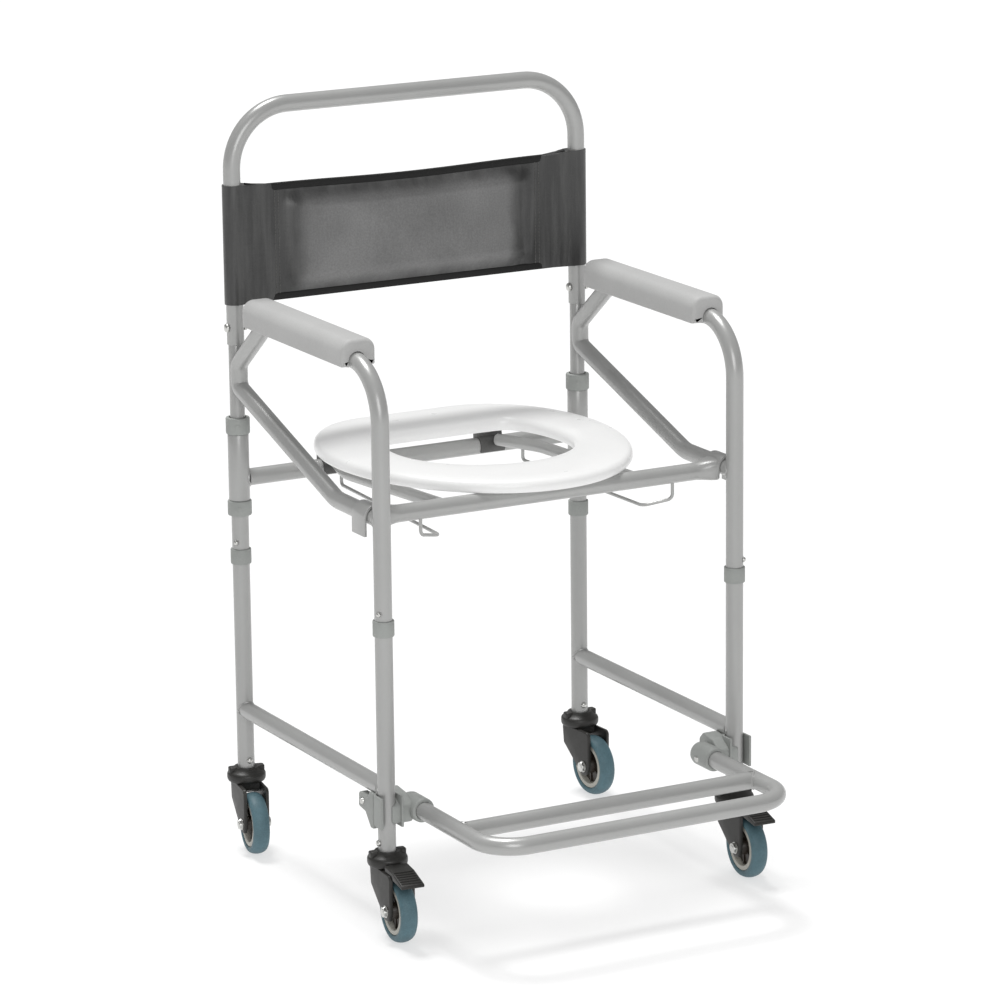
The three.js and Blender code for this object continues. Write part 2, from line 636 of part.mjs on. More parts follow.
function footrestClamp(side) {
  const edges = [side * LEG_X, side * (LEG_X + CLAMP.plateX)].sort((a, b) => a - b);
  return clampHalf(side, side, [slabAlongX(outline(CLAMP.plate), ...edges)]);
}

function footrestSocket(side) {
  const x = side * REST.x;
  const at = (y) => v3(x, y, REST.z);
  const edges = [side * CLAMP.humpX, side * LEG_X].sort((a, b) => a - b);
  return clampHalf(side, -side, [
    rod(at(CLAMP.barrelFront), at(CLAMP.barrelRear), CLAMP.barrelR, 0, 16),
    slabAlongX(outline(CLAMP.hump), ...edges),
  ], [
    rod(at(CLAMP.barrelFront - 5), at(CLAMP.boreEnd), CLAMP.barrelBoreR, 0, 16),
  ]);
}

// ---- The chair ------------------------------------------------------------------------

for (const [sideName, side] of SIDE_NAMES) {
  put(`lower_leg_frame_${sideName}`, lowerLegFrame(side), paint);
  put(`side_loop_${sideName}`, sideLoop(side), paint);
  put(`armrest_pad_${sideName}`, armPad(side), padFoam);
  put(`rear_upright_${sideName}`, rearUpright(side), paint);
  for (const [endName, end] of END_NAMES) {
    const place = `${endName}_${sideName}`;
    put(`leg_collar_${place}`, collar(LEG_COLLAR, side * LEG_X, end * LEG_Y), greyPlastic);
    put(`snap_button_${place}`, snapButton(side, end), zincSteel);
    addCastor(place, side, end, end < 0);
  }
  for (const [level, [bottom, top]] of Object.entries({
    lower: SLEEVE_COLLAR.low, upper: SLEEVE_COLLAR.high,
  })) {
    put(`sleeve_collar_${level}_${sideName}`,
      collar({ r: SLEEVE_COLLAR.r, bottom, top }, side * LEG_X, LEG_Y), greyPlastic);
  }
  put(`handle_bolt_${sideName}`, handleBolt(side), zincSteel);
  put(`seat_side_rail_${sideName}`, seatSideRail(side), paint);
  put(`pan_rail_${sideName}`, panRail(side), paint);
  put(`hinge_clip_${sideName}`, hingeClip(side), blackPlastic);
  put(`footrest_socket_${sideName}`, footrestSocket(side), greyPlastic);
  put(`footrest_clamp_${sideName}`, footrestClamp(side), greyPlastic);
}
put('rear_cross_frame', rearCrossFrame(), paint);
put('push_handle', pushHandle(), paint);
put('backrest_sling', backSling(), blackVinyl);
put('seat_front_bar', seatFrontBar(), paint);
put('seat_ring', seatRing(), whitePlastic);
put('footrest_frame', footrestFrame(), paint);

chair.position.y = ORIGIN_SHIFT;

export default chair;
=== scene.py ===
"""The looks of the folding commode chair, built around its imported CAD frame.

Lengths below are in millimetres, measured from the middle of the four legs, on the floor:
+X is the sitter's left, -Y the front, +Z up. at() turns them into the frame's metres.
"""

import json
import math

import bmesh
import bpy
from mathutils import Matrix, Vector, noise


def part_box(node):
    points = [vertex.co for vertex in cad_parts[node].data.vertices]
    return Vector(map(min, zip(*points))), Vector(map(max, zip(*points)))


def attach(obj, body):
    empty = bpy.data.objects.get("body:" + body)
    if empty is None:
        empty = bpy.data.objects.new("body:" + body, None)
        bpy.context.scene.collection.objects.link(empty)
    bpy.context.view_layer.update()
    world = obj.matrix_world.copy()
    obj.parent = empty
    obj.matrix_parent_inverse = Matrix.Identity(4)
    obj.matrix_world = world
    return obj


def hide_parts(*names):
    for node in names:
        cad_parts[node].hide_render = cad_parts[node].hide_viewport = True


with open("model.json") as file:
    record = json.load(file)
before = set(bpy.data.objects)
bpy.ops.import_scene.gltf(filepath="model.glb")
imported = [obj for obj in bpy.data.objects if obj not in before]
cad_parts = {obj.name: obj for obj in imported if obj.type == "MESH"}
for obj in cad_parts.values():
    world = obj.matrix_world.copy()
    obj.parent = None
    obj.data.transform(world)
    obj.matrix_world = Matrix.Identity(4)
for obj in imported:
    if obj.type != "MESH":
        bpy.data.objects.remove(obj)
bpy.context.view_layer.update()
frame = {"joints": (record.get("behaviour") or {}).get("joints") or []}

# ---- Places, from the frame -----------------------------------------------------------

MM = 0.001
SIDES = {"left": 1, "right": -1}
ENDS = {"front": -1, "rear": 1}
PLACES = [f"{end}_{side}" for side in SIDES for end in ENDS]


def middle(node):
    low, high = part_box(node)
    return (low + high) / 2


MID_Y = (middle("leg_collar_front_left").y + middle("leg_collar_rear_left").y) / 2
LEG_X = middle("leg_collar_front_left").x / MM
LEG_Y = (middle("leg_collar_rear_left").y - MID_Y) / MM


def at(x, y, z):
    return Vector((x * MM, y * MM + MID_Y, z * MM))


def low(node):
    """A node's lowest corner, in millimetres from the middle of the legs."""
    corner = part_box(node)[0]
    return Vector((corner.x, corner.y - MID_Y, corner.z)) / MM


def high(node):
    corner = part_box(node)[1]
    return Vector((corner.x, corner.y - MID_Y, corner.z)) / MM


# ---- Driving dimensions, as in the CAD ------------------------------------------------

TUBE_R = 11.0
WALL = 1.3
STRETCHER_Z = high("leg_collar_front_left").z - 214
SPIGOT_R = 9.4
ARM_Z = 707.0
HANDLE_TOP = high("push_handle").z - TUBE_R
HANDLE_BOTTOM = low("push_handle").z
CROSS_Z = 489.5
TAIL_Z = 522.0
BAR_Y = -166.0
BAR_Z = 518.0
REST_Z = 156.0
REST_X = 207.0
BUTTON_Z = 407.0
BUTTON_TURN = math.radians(35)
BOLT_Z = 686.0
HINGE_Y = 205.0
HINGE_Z = 519.0
CLIP_X = 114.0
RAIL_X = 134.0
WIRE_Z = 479.0
RING_TOP = high("seat_ring").z
RING_BOTTOM = RING_TOP - 19

# ---- Materials ------------------------------------------------------------------------


SOCKETS = {
    "specular": "Specular IOR Level", "coat": "Coat Weight", "coat_roughness": "Coat Roughness",
    "sheen": "Sheen Weight", "sheen_roughness": "Sheen Roughness",
}


class Graph:
    """A Principled material whose colour, roughness and bump come from procedural nodes."""

    def __init__(self, name, roughness=0.5, metallic=0.0, **sockets):
        self.material = bpy.data.materials.new(name)
        self.material.use_nodes = True
        self.nodes = self.material.node_tree.nodes
        self.links = self.material.node_tree.links
        self.shader = self.nodes["Principled BSDF"]
        self.shader.inputs["Roughness"].default_value = roughness
        self.shader.inputs["Metallic"].default_value = metallic
        for socket, value in sockets.items():
            self.shader.inputs[SOCKETS[socket]].default_value = value
        self.place = self.nodes.new("ShaderNodeTexCoord").outputs["Object"]
        self.normal = None

    def node(self, kind, **inputs):
        made = self.nodes.new(kind)
        for socket, value in inputs.items():
            self.feed(made.inputs[socket], value)
        return made

    def feed(self, socket, value):
        if isinstance(value, bpy.types.NodeSocket):
            self.links.new(value, socket)
        else:
            socket.default_value = value

    def noise(self, scale, detail=3.0, stretch=None):
        place = self.place
        if stretch:
            mapped = self.node("ShaderNodeMapping", Vector=self.place)
            mapped.inputs["Scale"].default_value = stretch
            place = mapped.outputs["Vector"]
        made = self.node("ShaderNodeTexNoise", Vector=place, Scale=scale, Detail=detail)
        return made.outputs["Fac"]

    def ramp(self, factor, stops):
        made = self.node("ShaderNodeValToRGB", Fac=factor)
        band = made.color_ramp
        while len(band.elements) < len(stops):
            band.elements.new(0.5)
        for element, (position, color) in zip(band.elements, stops):
            element.position = position
            element.color = (*color, 1.0)
        return made.outputs["Color"]

    def maths(self, operation, *values):
        made = self.nodes.new("ShaderNodeMath")
        made.operation = operation
        for socket, value in zip(made.inputs, values):
            self.feed(socket, value)
        return made.outputs[0]

    def span(self, factor, low_value, high_value):
        made = self.node("ShaderNodeMapRange", Value=factor)
        made.inputs["To Min"].default_value = low_value
        made.inputs["To Max"].default_value = high_value
        return made.outputs["Result"]

    def blend(self, factor, first, second):
        made = self.nodes.new("ShaderNodeMix")
        made.data_type = "RGBA"
        self.feed(made.inputs["Factor"], factor)
        for socket, value in (("A", first), ("B", second)):
            target = [s for s in made.inputs if s.name == socket and s.type == "RGBA"][0]
            self.feed(target, (*value, 1.0) if isinstance(value, tuple) else value)
        return [s for s in made.outputs if s.type == "RGBA"][0]

    def color(self, value):
        self.feed(self.shader.inputs["Base Color"], value)
        return self

    def roughness(self, value):
        self.feed(self.shader.inputs["Roughness"], value)
        return self

    def bump(self, height, strength, depth):
        made = self.node("ShaderNodeBump", Height=height, Strength=strength)
        made.inputs["Distance"].default_value = depth
        if self.normal is not None:
            self.links.new(self.normal, made.inputs["Normal"])
        self.normal = made.outputs["Normal"]
        self.links.new(self.normal, self.shader.inputs["Normal"])
        return self


def tint(color, gain):
    return tuple(min(1.0, c * gain) for c in color)


def speckled(graph, color, scale, spread, broad=9.0, drift=0.05):
    """Colour with a fine speckle over a slow drift from place to place."""
    fine = graph.ramp(graph.noise(scale, 2.0), [
        (0.30, tint(color, 1 - spread)), (0.70, tint(color, 1 + spread)),
    ])
    slow = graph.ramp(graph.noise(broad, 2.0), [
        (0.35, (1 - drift,) * 3), (0.65, (1.0,) * 3),
    ])
    mixed = graph.nodes.new("ShaderNodeMix")
    mixed.data_type = "RGBA"
    mixed.blend_type = "MULTIPLY"
    mixed.inputs["Factor"].default_value = 1.0
    graph.links.new(fine, mixed.inputs[6])
    graph.links.new(slow, mixed.inputs[7])
    return mixed.outputs[2]


def silver_paint():
    g = Graph("silver_paint", metallic=0.25, specular=0.6, coat=0.25, coat_roughness=0.18)
    g.color(speckled(g, (0.385, 0.387, 0.380), 2600.0, 0.10, 7.0, 0.05))
    g.roughness(g.span(g.noise(60.0), 0.28, 0.39))
    g.bump(g.noise(420.0, 2.0), 0.10, 0.0004)
    return g.material


def grey_plastic():
    g = Graph("grey_plastic")
    g.color(speckled(g, (0.315, 0.328, 0.315), 900.0, 0.07, 30.0, 0.08))
    g.roughness(g.span(g.noise(150.0), 0.42, 0.60))
    g.bump(g.noise(1700.0, 2.0), 0.25, 0.0003)
    return g.material


def black_plastic(name="black_plastic", color=(0.020, 0.0195, 0.018)):
    g = Graph(name)
    g.color(speckled(g, color, 700.0, 0.15, 40.0, 0.20))
    g.roughness(g.span(g.noise(90.0), 0.34, 0.52))
    g.bump(g.noise(1500.0, 2.0), 0.22, 0.0003)
    return g.material


def arm_foam():
    g = Graph("arm_foam", specular=0.35, sheen=0.15, sheen_roughness=0.5)
    g.color(speckled(g, (0.44, 0.44, 0.435), 500.0, 0.03, 14.0, 0.05))
    g.roughness(g.span(g.noise(70.0), 0.50, 0.66))
    g.bump(g.noise(900.0, 4.0), 0.30, 0.0004)
    g.bump(g.noise(45.0, 2.0), 0.15, 0.002)
    return g.material


def white_plastic():
    g = Graph("white_plastic", coat=0.15, coat_roughness=0.2)
    # painted light: a faint white glow lifts the shaded sides of the seat ring, though it is no
    # lamp
    g.shader.inputs["Emission Color"].default_value = (1, 1, 1, 1)
    g.shader.inputs["Emission Strength"].default_value = 0.18
    g.color(speckled(g, (0.65, 0.65, 0.645), 400.0, 0.012, 11.0, 0.02))
    g.roughness(g.span(g.noise(40.0), 0.24, 0.36))
    g.bump(g.noise(260.0, 3.0), 0.06, 0.0006)
    return g.material


def vinyl_grain(g):
    cells = g.node("ShaderNodeTexVoronoi", Vector=g.place, Scale=750.0)
    g.bump(cells.outputs["Distance"], 0.30, 0.0004)
    g.bump(g.noise(70.0, 4.0, (1.0, 1.0, 3.0)), 0.12, 0.002)


def painted_sheen_mask(g):
    """1 on the flat of the padded panel, where the painted sheen goes, falling to 0 over its
    rounded edges.
    """
    split = g.node("ShaderNodeSeparateXYZ", Vector=g.place)
    wander = g.span(g.noise(26.0, 3.0), -0.008, 0.008)
    masks = []
    for axis, centre, half in (("X", -0.003, 0.156), ("Z", 0.788, 0.0625)):
        off_centre = g.maths("ABSOLUTE", g.maths("SUBTRACT", split.outputs[axis], centre))
        fall = g.node("ShaderNodeMapRange", Value=g.maths("ADD", off_centre, wander))
        fall.interpolation_type = "SMOOTHSTEP"
        fall.inputs["From Min"].default_value = half - 0.016
        fall.inputs["From Max"].default_value = half + 0.008
        fall.inputs["To Min"].default_value = 1.0
        fall.inputs["To Max"].default_value = 0.0
        masks.append(fall.outputs["Result"])
    return g.maths("MULTIPLY", *masks)


def sheen_painted_vinyl():
    """The same vinyl, with a painted grey sheen on the flat of the padded panel standing in for
    reflected light.
    """
    g = Graph("sheen_painted_vinyl", specular=0.7, coat=0.3, coat_roughness=0.35)
    # painted sheen: the mask marks the padded face, which gets a lighter grey standing in for
    # reflected light
    sheen_area = painted_sheen_mask(g)
    plain = g.ramp(g.noise(95.0, 3.0, (1.0, 1.0, 0.09)), [
        (0.42, (0.007, 0.007, 0.0068)), (0.68, (0.036, 0.036, 0.035)),
    ])
    # painted sheen: this lighter grey on the padded face stands in for the light the vinyl reflects
    painted_sheen = speckled(g, (0.155, 0.155, 0.154), 420.0, 0.14, 9.0, 0.30)
    g.color(g.blend(sheen_area, plain, painted_sheen))
    g.roughness(g.span(g.noise(120.0, 4.0), 0.34, 0.50))
    vinyl_grain(g)
    g.bump(g.noise(300.0, 3.0, (0.25, 1.0, 1.6)), 0.20, 0.0008)
    g.bump(g.noise(75.0, 2.0, (1.0, 1.0, 0.13)), 0.35, 0.004)
    return g.material


def binding_tape():
    g = Graph("binding_tape", roughness=0.6, specular=0.3)
    g.color(speckled(g, (0.008, 0.008, 0.0078), 900.0, 0.25))
    g.bump(g.node("ShaderNodeTexWave", Vector=g.place, Scale=500.0).outputs["Fac"], 0.2, 0.0003)
    return g.material


def thread():
    g = Graph("thread", roughness=0.7)
    g.color(speckled(g, (0.11, 0.11, 0.105), 3000.0, 0.3))
    return g.material


def zinc_steel():
    g = Graph("zinc_steel", metallic=1.0)
    g.color(speckled(g, (0.62, 0.62, 0.60), 700.0, 0.08, 60.0, 0.12))
    g.roughness(g.span(g.noise(300.0, 3.0, (1.0, 1.0, 8.0)), 0.22, 0.42))
    g.bump(g.noise(900.0, 2.0), 0.08, 0.0002)
    return g.material


def tyre_rubber():
    g = Graph("tyre_rubber", specular=0.4)
    g.color(speckled(g, (0.088, 0.165, 0.195), 600.0, 0.10, 60.0, 0.15))
    g.roughness(g.span(g.noise(150.0), 0.45, 0.62))
    g.bump(g.noise(1200.0, 3.0), 0.18, 0.0003)
    return g.material


def hub_plastic():
    g = Graph("hub_plastic")
    g.color(speckled(g, (0.46, 0.45, 0.40), 700.0, 0.06, 50.0, 0.10))
    g.roughness(g.span(g.noise(120.0), 0.40, 0.55))
    g.bump(g.noise(1300.0, 2.0), 0.15, 0.0003)
    return g.material


PAINT = silver_paint()
GREY = grey_plastic()
BLACK = black_plastic()
CASTOR = black_plastic("castor_plastic", (0.018, 0.017, 0.015))
CORE = black_plastic("hub_core", (0.030, 0.022, 0.016))
CLIP = black_plastic("clip_plastic", (0.085, 0.085, 0.082))
FOAM = arm_foam()
GLOWING_WHITE = white_plastic()
PANEL_VINYL = sheen_painted_vinyl()
BINDING = binding_tape()
THREAD = thread()
ZINC = zinc_steel()
TYRE = tyre_rubber()
HUB = hub_plastic()

# ---- Shells: closed surfaces as (points, faces) ---------------------------------------


def grid_faces(rows, columns, wrap_rows=False, wrap_columns=True):
    faces = []
    for i in range(rows if wrap_rows else rows - 1):
        for j in range(columns if wrap_columns else columns - 1):
            a, b = i, (i + 1) % rows
            c, d = j, (j + 1) % columns
            faces.append((a * columns + c, a * columns + d, b * columns + d,
                          b * columns + c))
    return faces


def loft(rings, closed=False):
    """A shell through rings of equally many points; open ends are capped."""
    count = len(rings[0])
    points = [p for ring in rings for p in ring]
    faces = grid_faces(len(rings), count, wrap_rows=closed)
    if not closed:
        faces.append(tuple(reversed(range(count))))
        faces.append(tuple(range((len(rings) - 1) * count, len(rings) * count)))
    return points, faces


def bent(corners, radii, degrees=6.0):
    """Points along straight runs whose corners are rounded to the given radii."""
    path = [corners[0]]
    for corner, before, after, radius in zip(corners[1:], corners, corners[2:], radii):
        back = (before - corner).normalized()
        ahead = (after - corner).normalized()
        half = back.angle(ahead) / 2
        centre = corner + (back + ahead).normalized() * radius * MM / math.sin(half)
        reach = radius * MM / math.tan(half)
        start = corner + back * reach - centre
        end = corner + ahead * reach - centre
        turn = math.pi - 2 * half
        steps = max(3, round(math.degrees(turn) / degrees))
        across = (end - start * math.cos(turn)) / math.sin(turn)
        for k in range(steps + 1):
            a = turn * k / steps
            path.append(centre + start * math.cos(a) + across * math.sin(a))
    path.append(corners[-1])
    return path


def frames(path, closed=False):
    """A pair of sideways unit vectors at each point, turning as little as possible."""
    count = len(path)
    tangents = []
    for i in range(count):
        before = path[i - 1] if closed or i > 0 else path[0]
        after = path[(i + 1) % count] if closed or i < count - 1 else path[-1]
        tangents.append((after - before).normalized())
    seed = min((Vector((1, 0, 0)), Vector((0, 1, 0)), Vector((0, 0, 1))),
               key=lambda v: abs(v.dot(tangents[0])))
    side = (seed - tangents[0] * seed.dot(tangents[0])).normalized()
    out = []
    for i, tangent in enumerate(tangents):
        if i:
            side = tangents[i - 1].rotation_difference(tangent) @ side
        side = (side - tangent * side.dot(tangent)).normalized()
        out.append((side, tangent.cross(side)))
    return out


def pull_in(path, distance):
    """The path with its first and last points moved inward along it."""
    first = path[0] + (path[1] - path[0]).normalized() * distance
    last = path[-1] + (path[-2] - path[-1]).normalized() * distance
    return [path[0], first, *path[1:-1], last, path[-1]]


def tube(path, radius=TUBE_R, bore=None, sides=32, lip=0.5):
    """A round tube along a path, with eased rims; bore 0 makes it a solid bar."""
    bore = radius - WALL if bore is None else bore
    path = pull_in(path, lip * MM)
    turns = frames(path)
    last = len(path) - 1

    def ring(i, r):
        across, up = turns[i]
        return [
            path[i] + (across * math.cos(a) + up * math.sin(a)) * r * MM
            for a in (2 * math.pi * k / sides for k in range(sides))
        ]

    outer = [ring(i, radius - (lip if i in (0, last) else 0)) for i in range(last + 1)]
    if bore <= 0:
        return loft(outer)
    inner = [ring(i, bore) for i in range(last, -1, -1)]
    return loft(outer + inner, closed=True)


def rod(start, end, radius=TUBE_R, bore=0.0, sides=24, lip=0.5):
    return tube([start, end], radius, bore, sides, lip)


def spin(profile, origin, axis, sides=32):
    """A solid of revolution from (radius, height) pairs along axis from origin."""
    axis = Vector(axis).normalized()
    side = axis.orthogonal().normalized()
    up = axis.cross(side)
    closed = profile[0] == profile[-1]
    heights = profile[:-1] if closed else profile
    rings = []
    for r, h in heights:
        centre = origin + axis * h * MM
        rings.append([
            centre + (side * math.cos(a) + up * math.sin(a)) * max(r, 0.01) * MM
            for a in (2 * math.pi * k / sides for k in range(sides))
        ])
    return loft(rings, closed=closed)


def rounded(corners, radius, steps=4):
    """A closed outline in a plane with every corner rounded to radius."""
    out = []
    count = len(corners)
    for i in range(count):
        here = Vector(corners[i])
        back = Vector(corners[i - 1]) - here
        ahead = Vector(corners[(i + 1) % count]) - here
        half = back.angle(ahead) / 2
        reach = min(radius / math.tan(half), 0.49 * back.length, 0.49 * ahead.length)
        fit = reach * math.tan(half)
        centre = here + (back.normalized() + ahead.normalized()).normalized() \
            * fit / math.sin(half)
        start = here + back.normalized() * reach - centre
        end = here + ahead.normalized() * reach - centre
        turn = start.angle(end)
        for k in range(steps + 1):
            t = k / steps
            if turn < 1e-4:
                out.append(here)
                break
            blend = (start * math.sin((1 - t) * turn) + end * math.sin(t * turn)) \
                / math.sin(turn)
            out.append(centre + blend)
    return out


def arc(x, y, radius, degrees):
    """Points round (x, y) at the given angles."""
    return [(x + radius * math.cos(a), y + radius * math.sin(a))
            for a in (math.radians(d) for d in degrees)]


def slab(outline, start, end, plane="YZ", ease=1.0, steps=3):
    """An outline extruded from start to end along the plane's normal, edges eased."""
    place = {
        "YZ": lambda p, d: at(d, p[0], p[1]),
        "XZ": lambda p, d: at(p[0], d, p[1]),
        "XY": lambda p, d: at(p[0], p[1], d),
    }[plane]
    area = sum(a[0] * b[1] - b[0] * a[1] for a, b in zip(outline, outline[1:] + outline[:1]))
    count = len(outline)
    rings = []
    first = [(start + ease * (1 - math.cos(math.pi / 2 * k / steps)),
              ease * (1 - math.sin(math.pi / 2 * k / steps))) for k in range(steps + 1)]
    second = [(end - (d - start), i) for d, i in reversed(first)]
    for depth, inset in first + second:
        ring = []
        for i in range(count):
            before = Vector(outline[i - 1][:2])
            here = Vector(outline[i][:2])
            after = Vector(outline[(i + 1) % count][:2])
            along = (after - here).normalized() + (here - before).normalized()
            inward = Vector((-along.y, along.x)).normalized() * (1 if area > 0 else -1)
            ring.append(place(here + inward * inset, depth))
        rings.append(ring)
    return loft(rings)


def moved(shell, matrix):
    points, faces = shell
    return [matrix @ p for p in points], faces


# ---- Pieces ---------------------------------------------------------------------------

SHARP = math.radians(38)


def mesh_of(name, shells, materials):
    """An object from shells; each shell is (points, faces) or (points, faces, material)."""
    points, faces, marks = [], [], []
    for shell in shells:
        base = len(points)
        points.extend(shell[0])
        faces.extend(tuple(base + i for i in face) for face in shell[1])
        mark = materials.index(shell[2]) if len(shell) > 2 else 0
        marks.extend([mark] * len(shell[1]))
    mesh = bpy.data.meshes.new(name)
    mesh.from_pydata(points, [], faces)
    mesh.polygons.foreach_set("material_index", marks)
    for material in materials:
        mesh.materials.append(material)
    obj = bpy.data.objects.new(name, mesh)
    bpy.context.scene.collection.objects.link(obj)
    tidy_mesh(obj)
    return obj


def tidy_mesh(obj, sharp=SHARP):
    """Faces outward, smooth shading, and sharp edges where the surface turns hard."""
    work = bmesh.new()
    work.from_mesh(obj.data)
    bmesh.ops.remove_doubles(work, verts=work.verts, dist=1e-6)
    bmesh.ops.recalc_face_normals(work, faces=work.faces)
    for face in work.faces:
        face.smooth = True
    for edge in work.edges:
        edge.smooth = len(edge.link_faces) == 2 and edge.calc_face_angle(0.0) < sharp
    work.to_mesh(obj.data)
    work.free()


def settle(obj):
    """Applies the object's modifiers to its mesh."""
    bpy.context.view_layer.update()
    graph = bpy.context.evaluated_depsgraph_get()
    made = bpy.data.meshes.new_from_object(obj.evaluated_get(graph), depsgraph=graph)
    obj.modifiers.clear()
    old = obj.data
    obj.data = made
    made.name = obj.name
    bpy.data.meshes.remove(old)
    tidy_mesh(obj)


def combine(obj, shells, operation):
    """Joins shells to obj, or cuts them from it."""
    for i, shell in enumerate(shells):
        tool = mesh_of(f"{obj.name}_tool{i}", [shell[:2]], list(obj.data.materials)[:1])
        change = obj.modifiers.new("combine", "BOOLEAN")
        change.operation = operation
        change.solver = "EXACT"
        change.object = tool
        settle(obj)
        bpy.data.objects.remove(tool)
    return obj


def dress(obj, body, *replaced, finish=None):
    """Puts a finished piece on its body, in place of CAD nodes."""
    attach(obj, body)
    if replaced:
        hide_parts(*replaced)
    return obj


def piece(name, shells, material, body, *replaced):
    return dress(mesh_of(name, shells, [material]), body, *replaced)


def weld_bead(centre, axis, trunk_axis, branch_r=TUBE_R, trunk_r=TUBE_R, size=1.5):
    """The bead where a branch tube meets the wall of a trunk tube."""
    axis = Vector(axis).normalized()
    trunk_axis = Vector(trunk_axis).normalized()
    across = axis.cross(trunk_axis)
    path = []
    for k in range(40):
        a = 2 * math.pi * k / 40
        sideways = branch_r * math.cos(a) * 0.985
        along = math.sqrt(max(trunk_r ** 2 - sideways ** 2, 0))
        ripple = 0.25 * math.sin(9 * a)
        path.append(centre + (across * sideways + axis * (along + ripple)
                              + trunk_axis * branch_r * math.sin(a)) * MM)
    turns = frames(path, closed=True)
    rings = [
        [p + (u * math.cos(b) + v * math.sin(b)) * size * MM
         for b in (2 * math.pi * j / 8 for j in range(8))]
        for p, (u, v) in zip(path, turns)
    ]
    return loft(rings, closed=True)


def ring_shell(x, y, bottom, top, outer, inner, ease=1.2, sides=40):
    """An upright collar with eased rims."""
    profile = [(inner, bottom), (outer - ease, bottom), (outer - 0.3 * ease, bottom + 0.3 * ease),
               (outer, bottom + ease), (outer, top - ease),
               (outer - 0.3 * ease, top - 0.3 * ease), (outer - ease, top), (inner, top),
               (inner, bottom)]
    return spin(profile, at(x, y, 0), (0, 0, 1), sides)


# ---- Camera, floor and light ----------------------------------------------------------

CAMERA = {
    "azimuth": -28.06, "elevation": 14.33, "roll": -0.68, "distance": 6.0745,
    "aim": at(0, 0, 444.2), "lens": 173.2, "shift": (0.0151, 0.0215),
}


SUN_POWER = 2.9
SUN_WIDTH = 18.0
SUN_FROM = (-0.03, 0.27, 0.96)
WORLD_POWER = 0.36
FLOOR_GLOW = 0.61


def make_camera():
    azimuth = math.radians(CAMERA["azimuth"])
    elevation = math.radians(CAMERA["elevation"])
    roll = math.radians(CAMERA["roll"])
    back = Vector((math.sin(azimuth) * math.cos(elevation),
                   -math.cos(azimuth) * math.cos(elevation), math.sin(elevation)))
    level = (-back).cross(Vector((0, 0, 1))).normalized()
    upright = level.cross(-back)
    right = level * math.cos(roll) + upright * math.sin(roll)
    up = upright * math.cos(roll) - level * math.sin(roll)
    data = bpy.data.cameras.new("camera")
    data.sensor_width = 36
    data.lens = CAMERA["lens"]
    data.shift_x, data.shift_y = CAMERA["shift"]
    data.clip_end = 50
    camera = bpy.data.objects.new("camera", data)
    bpy.context.scene.collection.objects.link(camera)
    turn = Matrix((right, up, back)).transposed().to_4x4()
    camera.matrix_world = Matrix.Translation(CAMERA["aim"] + back * CAMERA["distance"]) @ turn
    bpy.context.scene.camera = camera


def make_sun():
    """A broad overhead light, a little behind the chair, for even soft shadows."""
    data = bpy.data.lights.new("overhead", "SUN")
    data.energy = SUN_POWER
    data.angle = math.radians(SUN_WIDTH)
    sun = bpy.data.objects.new("overhead", data)
    bpy.context.scene.collection.objects.link(sun)
    sun.rotation_euler = Vector(SUN_FROM).to_track_quat("Z", "Y").to_euler()


def make_softbox(name, place, target, size, power):
    data = bpy.data.lights.new(name, "AREA")
    data.shape = "DISK"
    data.size = size
    data.energy = power
    light = bpy.data.objects.new(name, data)
    bpy.context.scene.collection.objects.link(light)
    light.location = place
    light.rotation_euler = (place - target).to_track_quat("Z", "Y").to_euler()


def make_studio():
    scene = bpy.context.scene
    world = bpy.data.worlds.new("studio")
    scene.world = world
    world.use_nodes = True
    world.node_tree.nodes["Background"].inputs["Color"].default_value = (1, 1, 1, 1)
    world.node_tree.nodes["Background"].inputs["Strength"].default_value = WORLD_POWER
    scene.view_settings.view_transform = "Standard"
    make_sun()
    make_softbox("front", at(-1500, -3800, 2100), at(0, 0, 450), 2.4, 55)
    floor = mesh_of("floor", [(
        [at(x, y, -0.4) for x, y in ((-60000, -60000), (60000, -60000), (60000, 60000),
                                     (-60000, 60000))],
        [(0, 1, 2, 3)],
    )], [floor_finish()])


def floor_finish():
    g = Graph("floor", roughness=0.9, specular=0.1)
    g.color(g.ramp(g.noise(3.0), [(0.3, (0.35, 0.35, 0.35)), (0.7, (0.38, 0.38, 0.38))]))
    g.shader.inputs["Emission Color"].default_value = (1, 1, 1, 1)
    g.shader.inputs["Emission Strength"].default_value = FLOOR_GLOW
    return g.material


make_camera()
make_studio()

# ---- Lower frame ----------------------------------------------------------------------


def lower_legs(side_name):
    x = SIDES[side_name] * LEG_X
    node = f"lower_leg_frame_{side_name}"
    foot, top = low(node).z, high(node).z
    shoulder = low(f"leg_collar_front_{side_name}").z + 1.7
    legs = []
    for end in ENDS.values():
        y = end * LEG_Y
        legs.append(rod(at(x, y, foot), at(x, y, shoulder), TUBE_R, TUBE_R - WALL, 32))
        legs.append(rod(at(x, y, shoulder - 20), at(x, y, top), SPIGOT_R, SPIGOT_R - 1.1, 32))
        legs.append(weld_bead(at(x, y, STRETCHER_Z), (0, -end, 0), (0, 0, 1)))
    legs.append(rod(at(x, -LEG_Y + 8, STRETCHER_Z), at(x, LEG_Y - 8, STRETCHER_Z), TUBE_R, 0, 32))
    frame_piece = mesh_of(f"lower_legs_{side_name}", legs, [PAINT])
    dress(frame_piece, "base", node)
    for end_name, end in ENDS.items():
        outward = (SIDES[side_name], 0, 0) if end_name == "front" else (0, -1, 0)
        head = [(0, 14.6), (2.2, 14.4), (3.4, 13.6), (4.0, 12.2), (4.0, 10.4), (0, 10.4)]
        piece(f"stem_bolt_{end_name}_{side_name}",
              [spin(head, at(x, end * LEG_Y, foot + 17), outward, 24)], ZINC, "base")


for side_name in SIDES:
    lower_legs(side_name)

